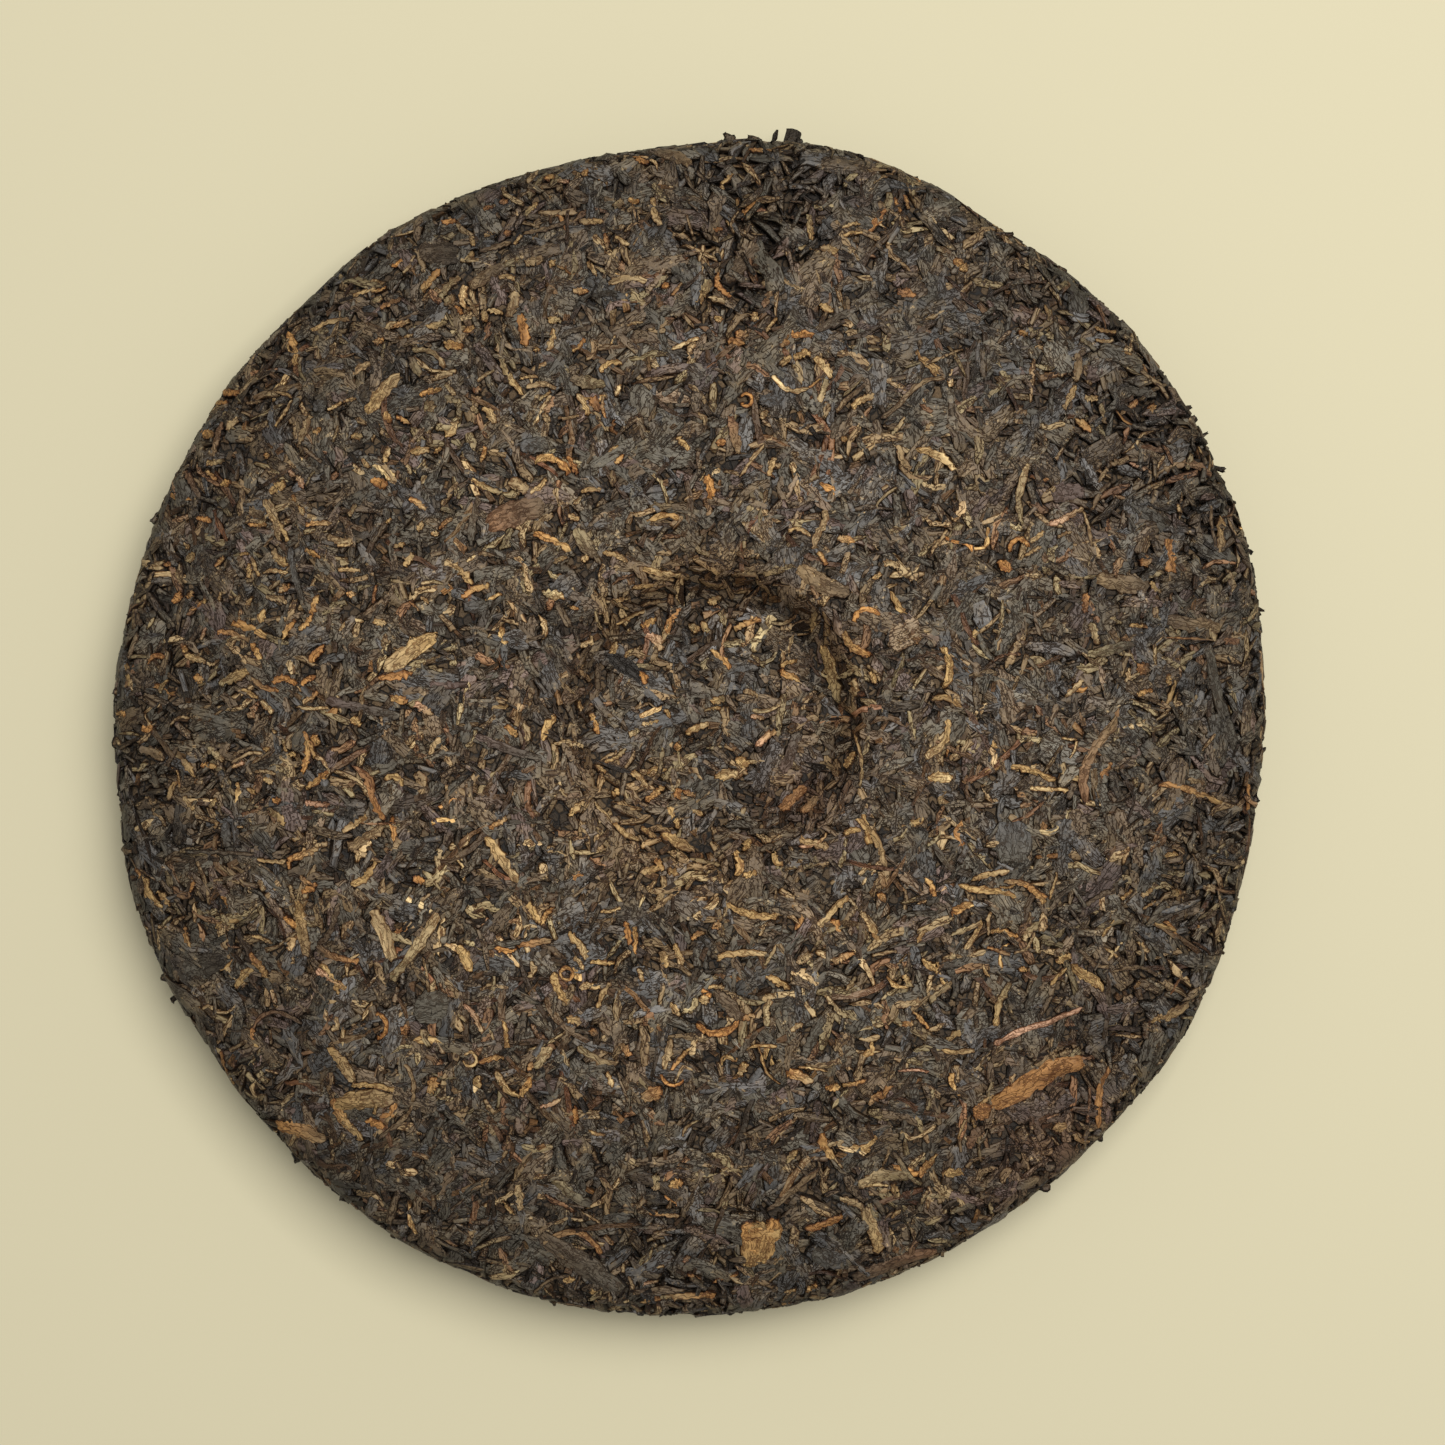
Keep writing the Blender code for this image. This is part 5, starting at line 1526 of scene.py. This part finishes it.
def group_with(name, inputs, outputs):
    """An empty shader node group with its sockets, and its ends."""
    group = bpy.data.node_groups.new(name, "ShaderNodeTree")
    for socket, kind, value in inputs:
        made = group.interface.new_socket(socket, in_out="INPUT", socket_type=kind)
        if value is not None:
            made.default_value = value
    for socket, kind in outputs:
        group.interface.new_socket(socket, in_out="OUTPUT", socket_type=kind)
    return group, group.nodes.new("NodeGroupInput"), group.nodes.new("NodeGroupOutput")


def math_node(tree, operation, *operands):
    """A Math node; each operand is a socket or a number. Returns its output."""
    node = tree.nodes.new("ShaderNodeMath")
    node.operation = operation
    for socket, value in zip(node.inputs, operands):
        if isinstance(value, (int, float)):
            socket.default_value = value
        else:
            tree.links.new(value, socket)
    return node.outputs[0]


def from_middle(tree, value):
    """A noise as it lies about its mean of a half."""
    return math_node(tree, "SUBTRACT", value, 0.5)


def noise_node(tree, vector, scale, detail, roughness=0.55):
    node = tree.nodes.new("ShaderNodeTexNoise")
    node.inputs["Scale"].default_value = scale
    node.inputs["Detail"].default_value = detail
    node.inputs["Roughness"].default_value = roughness
    tree.links.new(vector, node.inputs["Vector"])
    return node.outputs["Fac"]


def range_node(tree, value, low, high, start, end):
    """A smooth change from start to end while the value goes from low to high."""
    node = tree.nodes.new("ShaderNodeMapRange")
    node.interpolation_type = "SMOOTHSTEP"
    for socket, number in (("From Min", low), ("From Max", high), ("To Min", start), ("To Max", end)):
        node.inputs[socket].default_value = number
    tree.links.new(value, node.inputs["Value"])
    return node.outputs["Result"]


def stretched(tree, vector, scale):
    """A vector multiplied part by part."""
    node = tree.nodes.new("ShaderNodeVectorMath")
    node.operation = "MULTIPLY"
    tree.links.new(vector, node.inputs[0])
    node.inputs[1].default_value = scale
    return node.outputs[0]


def colour_times(tree, colour, factor):
    node = tree.nodes.new("ShaderNodeVectorMath")
    node.operation = "SCALE"
    tree.links.new(colour, node.inputs[0])
    tree.links.new(factor, node.inputs["Scale"])
    return node.outputs[0]


def mixed(tree, share, first, second):
    """A colour that goes from the first to the second with the share; the second may be a tone."""
    node = tree.nodes.new("ShaderNodeMix")
    node.data_type = "RGBA"
    tree.links.new(share, node.inputs["Factor"])
    tree.links.new(first, node.inputs[6])
    if isinstance(second, tuple):
        node.inputs[7].default_value = (*srgb(*second), 1)
    else:
        tree.links.new(second, node.inputs[7])
    return node.outputs[2]


def leaf_grain_and_shade_group():
    """Grain of a pressed leaf: streaks along it, blotches, specks and tea dust; and painted shade in the
    creases along it, in cracks and along its edges.
    """
    group, start, end = group_with(
        "leaf grain",
        (
            ("Tone", "NodeSocketColor", None),
            ("Run", "NodeSocketVector", None),
            ("Place", "NodeSocketVector", None),
            ("Rim", "NodeSocketFloat", 0.0),
            ("Streak", "NodeSocketFloat", 0.6),
            ("Crease shade", "NodeSocketFloat", 0.5),
            ("Speck", "NodeSocketFloat", 2.0),
            ("Dust", "NodeSocketFloat", 0.4),
            ("Roughness", "NodeSocketFloat", 0.55),
        ),
        (("Colour", "NodeSocketColor"), ("Roughness", "NodeSocketFloat"), ("Height", "NodeSocketFloat")),
    )
    given = start.outputs
    run, place = given["Run"], given["Place"]

    # Patterns along the leaf, and patterns in space
    streak = noise_node(group, stretched(group, run, STREAK_SCALE), 1.0, 3.0, 0.6)
    fold = noise_node(group, stretched(group, run, FOLD_SCALE), 1.0, 2.0)
    blotch = noise_node(group, stretched(group, run, BLOTCH_SCALE), 1.0, 2.0)
    speck = noise_node(group, place, SPECK_SCALE, 3.0, 0.7)
    dust = range_node(group, noise_node(group, place, DUST_SCALE, 4.0, 0.6), 0.44, 0.66, 0.0, 1.0)
    fleck = range_node(group, noise_node(group, place, FLECK_SCALE, 3.0, 0.7), 0.60, 0.67, 0.0, 1.0)
    fleck = math_node(group, "MULTIPLY", fleck, range_node(group, dust, 0.0, 1.0, 0.25, 1.0))

    # Dark lines of painted shade: in creases, along the leaf's own outline, and in cracks in patches
    from_fold = math_node(group, "ABSOLUTE", from_middle(group, fold))
    crease_shade = range_node(group, from_fold, 0.0, 0.05, 1.0, 0.0)
    edge_shade = range_node(group, given["Rim"], *EDGE_SHADE_WIDTHS, EDGE_SHADE_DARKNESS, 0.0)
    crack_noise = noise_node(group, place, CRACK_SCALE, 2.0)
    from_crack = math_node(group, "ABSOLUTE", from_middle(group, crack_noise))
    crack_shade = range_node(group, from_crack, 0.010, 0.036, 1.0, 0.0)
    patch_noise = noise_node(group, place, CRACK_PATCH_SCALE, 2.0)
    crack_shade = math_node(group, "MULTIPLY", crack_shade, range_node(group, patch_noise, 0.42, 0.54, 0.0, 1.0))
    crease_shade = math_node(group, "MAXIMUM", crease_shade, crack_shade)

    # Colour: dust, flecks and streaks on the tone, then shade: random blotches and specks, and the painted
    # shade of creases, cracks and edges, which is warm where it is deep
    dusted = mixed(group, math_node(group, "MULTIPLY", dust, given["Dust"]), given["Tone"], DUST_TONE)
    flecked = mixed(group, math_node(group, "MULTIPLY", fleck, given["Dust"]), dusted, FLECK_TONE)
    # Deep streaks: darker grain in the grooves of the relief, partly painted shade
    deep = math_node(group, "MULTIPLY", range_node(group, streak, 0.38, 0.60, 1.0, 0.0), given["Streak"])
    light = stretched(group, flecked, STREAK_LIGHT)
    streaked = mixed(group, deep, light, stretched(group, flecked, STREAK_DEEP_AND_SHADE))
    shade = math_node(group, "MULTIPLY_ADD", from_middle(group, blotch), 1.0, 1.0)
    speck_part = math_node(group, "MULTIPLY", from_middle(group, speck), given["Speck"])
    shade = math_node(group, "ADD", shade, speck_part)
    # Painted shade of creases, cracks and edges darkens the colour
    for dark in (math_node(group, "MULTIPLY", crease_shade, given["Crease shade"]), edge_shade):
        shade = math_node(group, "MULTIPLY", shade, math_node(group, "SUBTRACT", 1.0, dark))
    shade = math_node(group, "MAXIMUM", shade, DARKEST_SHADE)
    lit = range_node(group, shade, 0.10, 0.80, 0.0, 1.0)
    warmed = mixed(group, lit, stretched(group, streaked, PAINTED_SHADE_WARMTH), streaked)
    group.links.new(colour_times(group, warmed, shade), end.inputs["Colour"])

    rough = math_node(group, "MULTIPLY_ADD", from_middle(group, speck), 0.5, given["Roughness"])
    group.links.new(rough, end.inputs["Roughness"])
    height = math_node(group, "MULTIPLY_ADD", speck, 0.4, streak)
    height = math_node(group, "MULTIPLY_ADD", crease_shade, -0.5, height)
    height = math_node(group, "MULTIPLY_ADD", edge_shade, -0.6, height)
    group.links.new(height, end.inputs["Height"])
    return group


def material_with(name):
    """A new material, its nodes and its shader."""
    material = bpy.data.materials.new(name)
    material.use_nodes = True
    return material, material.node_tree, material.node_tree.nodes["Principled BSDF"]


def add_relief(tree, shader, height, depth_mm):
    bump = tree.nodes.new("ShaderNodeBump")
    bump.inputs["Strength"].default_value = 1.0
    bump.inputs["Distance"].default_value = depth_mm * MM
    tree.links.new(height, bump.inputs["Height"])
    tree.links.new(bump.outputs["Normal"], shader.inputs["Normal"])


def leaf_material(grain, name, streak, crease_shade, speck, dust, roughness, relief_mm):
    """Finish of one kind of leaf, from the shared grain and painted shade."""
    material, tree, shader = material_with(name)
    node = tree.nodes.new("ShaderNodeGroup")
    node.node_tree = grain
    for attribute, output, socket in (
        ("leaf_tone", "Color", "Tone"),
        ("leaf_run", "Vector", "Run"),
        ("leaf_rim", "Fac", "Rim"),
    ):
        source = tree.nodes.new("ShaderNodeAttribute")
        source.attribute_name = attribute
        tree.links.new(source.outputs[output], node.inputs[socket])
    tree.links.new(tree.nodes.new("ShaderNodeTexCoord").outputs["Object"], node.inputs["Place"])
    values = {"Streak": streak, "Crease shade": crease_shade, "Speck": speck, "Dust": dust, "Roughness": roughness}
    for socket, value in values.items():
        node.inputs[socket].default_value = value
    tree.links.new(node.outputs["Colour"], shader.inputs["Base Color"])
    tree.links.new(node.outputs["Roughness"], shader.inputs["Roughness"])
    add_relief(tree, shader, node.outputs["Height"], relief_mm)
    shader.inputs["Specular IOR Level"].default_value = LEAF_SHEEN
    shader.inputs["Specular Tint"].default_value = (*SHEEN_TONE, 1)
    return material


def core_material():
    """The broken leaf in the gaps between leaves: small pieces of mixed tones with dark seams."""
    material, tree, shader = material_with("packed broken leaf")
    where = tree.nodes.new("ShaderNodeTexCoord").outputs["Object"]
    wander = tree.nodes.new("ShaderNodeTexNoise")
    wander.inputs["Scale"].default_value = CORE_WANDER_SCALE
    tree.links.new(where, wander.inputs["Vector"])
    shift = tree.nodes.new("ShaderNodeVectorMath")
    shift.operation = "MULTIPLY_ADD"
    tree.links.new(wander.outputs["Color"], shift.inputs[0])
    shift.inputs[1].default_value = CORE_WANDER
    tree.links.new(where, shift.inputs[2])
    pieces, seams = (tree.nodes.new("ShaderNodeTexVoronoi") for _ in range(2))
    seams.feature = "DISTANCE_TO_EDGE"
    for cells in (pieces, seams):
        cells.inputs["Scale"].default_value = CORE_PIECE_SCALE
        tree.links.new(shift.outputs[0], cells.inputs["Vector"])
    seam = range_node(tree, seams.outputs["Distance"], 0.0, 0.16, 0.12, 1.0)
    ramp = tree.nodes.new("ShaderNodeValToRGB")
    for stop, tone in zip(ramp.color_ramp.elements, CORE_TONES):
        stop.color = (*srgb(*tone), 1)
    split = tree.nodes.new("ShaderNodeSeparateColor")
    tree.links.new(pieces.outputs["Color"], split.inputs["Color"])
    tree.links.new(split.outputs[0], ramp.inputs["Fac"])
    grain = noise_node(tree, where, CORE_GRAIN_SCALE, 3.0, 0.7)
    shade = math_node(tree, "MULTIPLY", seam, math_node(tree, "MULTIPLY_ADD", grain, 1.6, 0.2))
    tree.links.new(colour_times(tree, ramp.outputs["Color"], shade), shader.inputs["Base Color"])
    add_relief(tree, shader, shade, CORE_RELIEF)
    shader.inputs["Roughness"].default_value = CORE_ROUGHNESS
    shader.inputs["Specular IOR Level"].default_value = CORE_SHEEN
    return material


def model_core():
    """The core under the leaves: a ball pressed onto the cake's own form, a little below its skin."""
    deselect_all()
    bpy.ops.mesh.primitive_uv_sphere_add(segments=CORE_FACES[0], ring_count=CORE_FACES[1], radius=1)
    core = bpy.context.object
    core.name = "pressed_core"
    bpy.ops.object.shade_smooth()
    points = np.empty(len(core.data.vertices) * 3)
    core.data.vertices.foreach_get("co", points)
    x, y, z = points.reshape(-1, 3).T
    angle = np.arctan2(y, x)
    run = np.arccos(np.clip(z, -1, 1)) / math.pi * WHOLE_RUN
    is_under = run > RIM_RUN
    reach = np.where(is_under, WHOLE_RUN - run, run)
    flat_x, flat_y = reach * np.cos(angle), reach * np.sin(angle)
    loose = np.where(is_under, 0, np.minimum(looseness(flat_x, flat_y), LOOSEST_SINK))
    sink = -CORE_SINK - LOOSE_SINK * loose
    back, face = (raised(flat_x, flat_y, sink, under) for under in (False, True))
    placed = np.where(is_under[:, None], face, back) * MM
    core.data.vertices.foreach_set("co", placed.ravel())
    core.data.update()
    core.data.materials.append(core_material())
    return core


def build_cake():
    """The core, the leaves of every kind on the back and the face, and the flakes at the rim."""
    draw = np.random.default_rng(SEED)
    templates = {name: model_leaf(name, *shape) for name, shape in LEAF_SHAPES.items()}
    grain = leaf_grain_and_shade_group()
    finishes = {name: leaf_material(grain, *values) for name, values in FINISHES.items()}
    made = [model_core()]
    for side, under in (("back", False), ("face", True)):
        leaves = together([draw_leaves(draw, number, under) for number in range(len(LEAF_KINDS))])
        if not under:
            leaves = together([leaves, shown_leaves(draw)])
        leaves = chosen(leaves, seen_leaves(leaves, under))
        for number, (name, kind) in enumerate(LEAF_KINDS.items()):
            group = chosen(leaves, leaves["kind"] == number)
            piece = leaf_mesh(f"{name}_{side}", group, templates, kind["templates"], draw, under)
            piece.data.materials.append(finishes[name])
            made.append(piece)
        if not under:
            group = chosen(leaves, leaves["shown"])
            piece = leaf_mesh("shown_leaves_back", group, templates, SHOWN_TEMPLATES, draw, under)
            piece.data.materials.append(finishes["golden_buds"])
            made.append(piece)
    flakes = rim_flake_mesh(rim_flakes(draw), templates, draw)
    flakes.data.materials.append(finishes["dark_leaf_strips"])
    made.append(flakes)
    for piece in made:
        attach(piece, "root")
        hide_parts("tea_cake")


def set_stage():
    """A pale floor, soft light from above and the upper right, and a camera looking straight down."""
    scene = bpy.context.scene
    scene.view_settings.view_transform = "Standard"
    deselect_all()
    bpy.ops.mesh.primitive_plane_add(size=FLOOR_SIZE)
    floor = bpy.context.object
    floor.name = "floor"
    paint, _, shader = material_with("pale floor")
    shader.inputs["Base Color"].default_value = (*srgb(*FLOOR_TONE), 1)
    shader.inputs["Roughness"].default_value = FLOOR_ROUGHNESS
    floor.data.materials.append(paint)
    world = bpy.data.worlds.new("soft room light")
    world.use_nodes = True
    sky = world.node_tree.nodes["Background"]
    sky.inputs["Color"].default_value = (*ROOM_LIGHT, 1)
    sky.inputs["Strength"].default_value = ROOM_STRENGTH
    scene.world = world
    key = bpy.data.lights.new("window light", "AREA")
    key.size = LAMP_SIZE
    key.energy = LAMP_POWER
    lamp = bpy.data.objects.new("window light", key)
    lamp.location = LAMP_PLACE
    lamp.rotation_euler = (-lamp.location).to_track_quat("-Z", "Y").to_euler()
    scene.collection.objects.link(lamp)
    lens = bpy.data.cameras.new("camera")
    lens.sensor_width = SENSOR_WIDTH
    lens.lens = lens.sensor_width * SIGHT_HEIGHT / FRAME_WIDTH
    camera = bpy.data.objects.new("camera", lens)
    camera.location = (FRAME_CENTRE[0] * MM, FRAME_CENTRE[1] * MM, (RIM_LEVEL + SIGHT_HEIGHT) * MM)
    scene.collection.objects.link(camera)
    scene.camera = camera


build_cake()
set_stage()
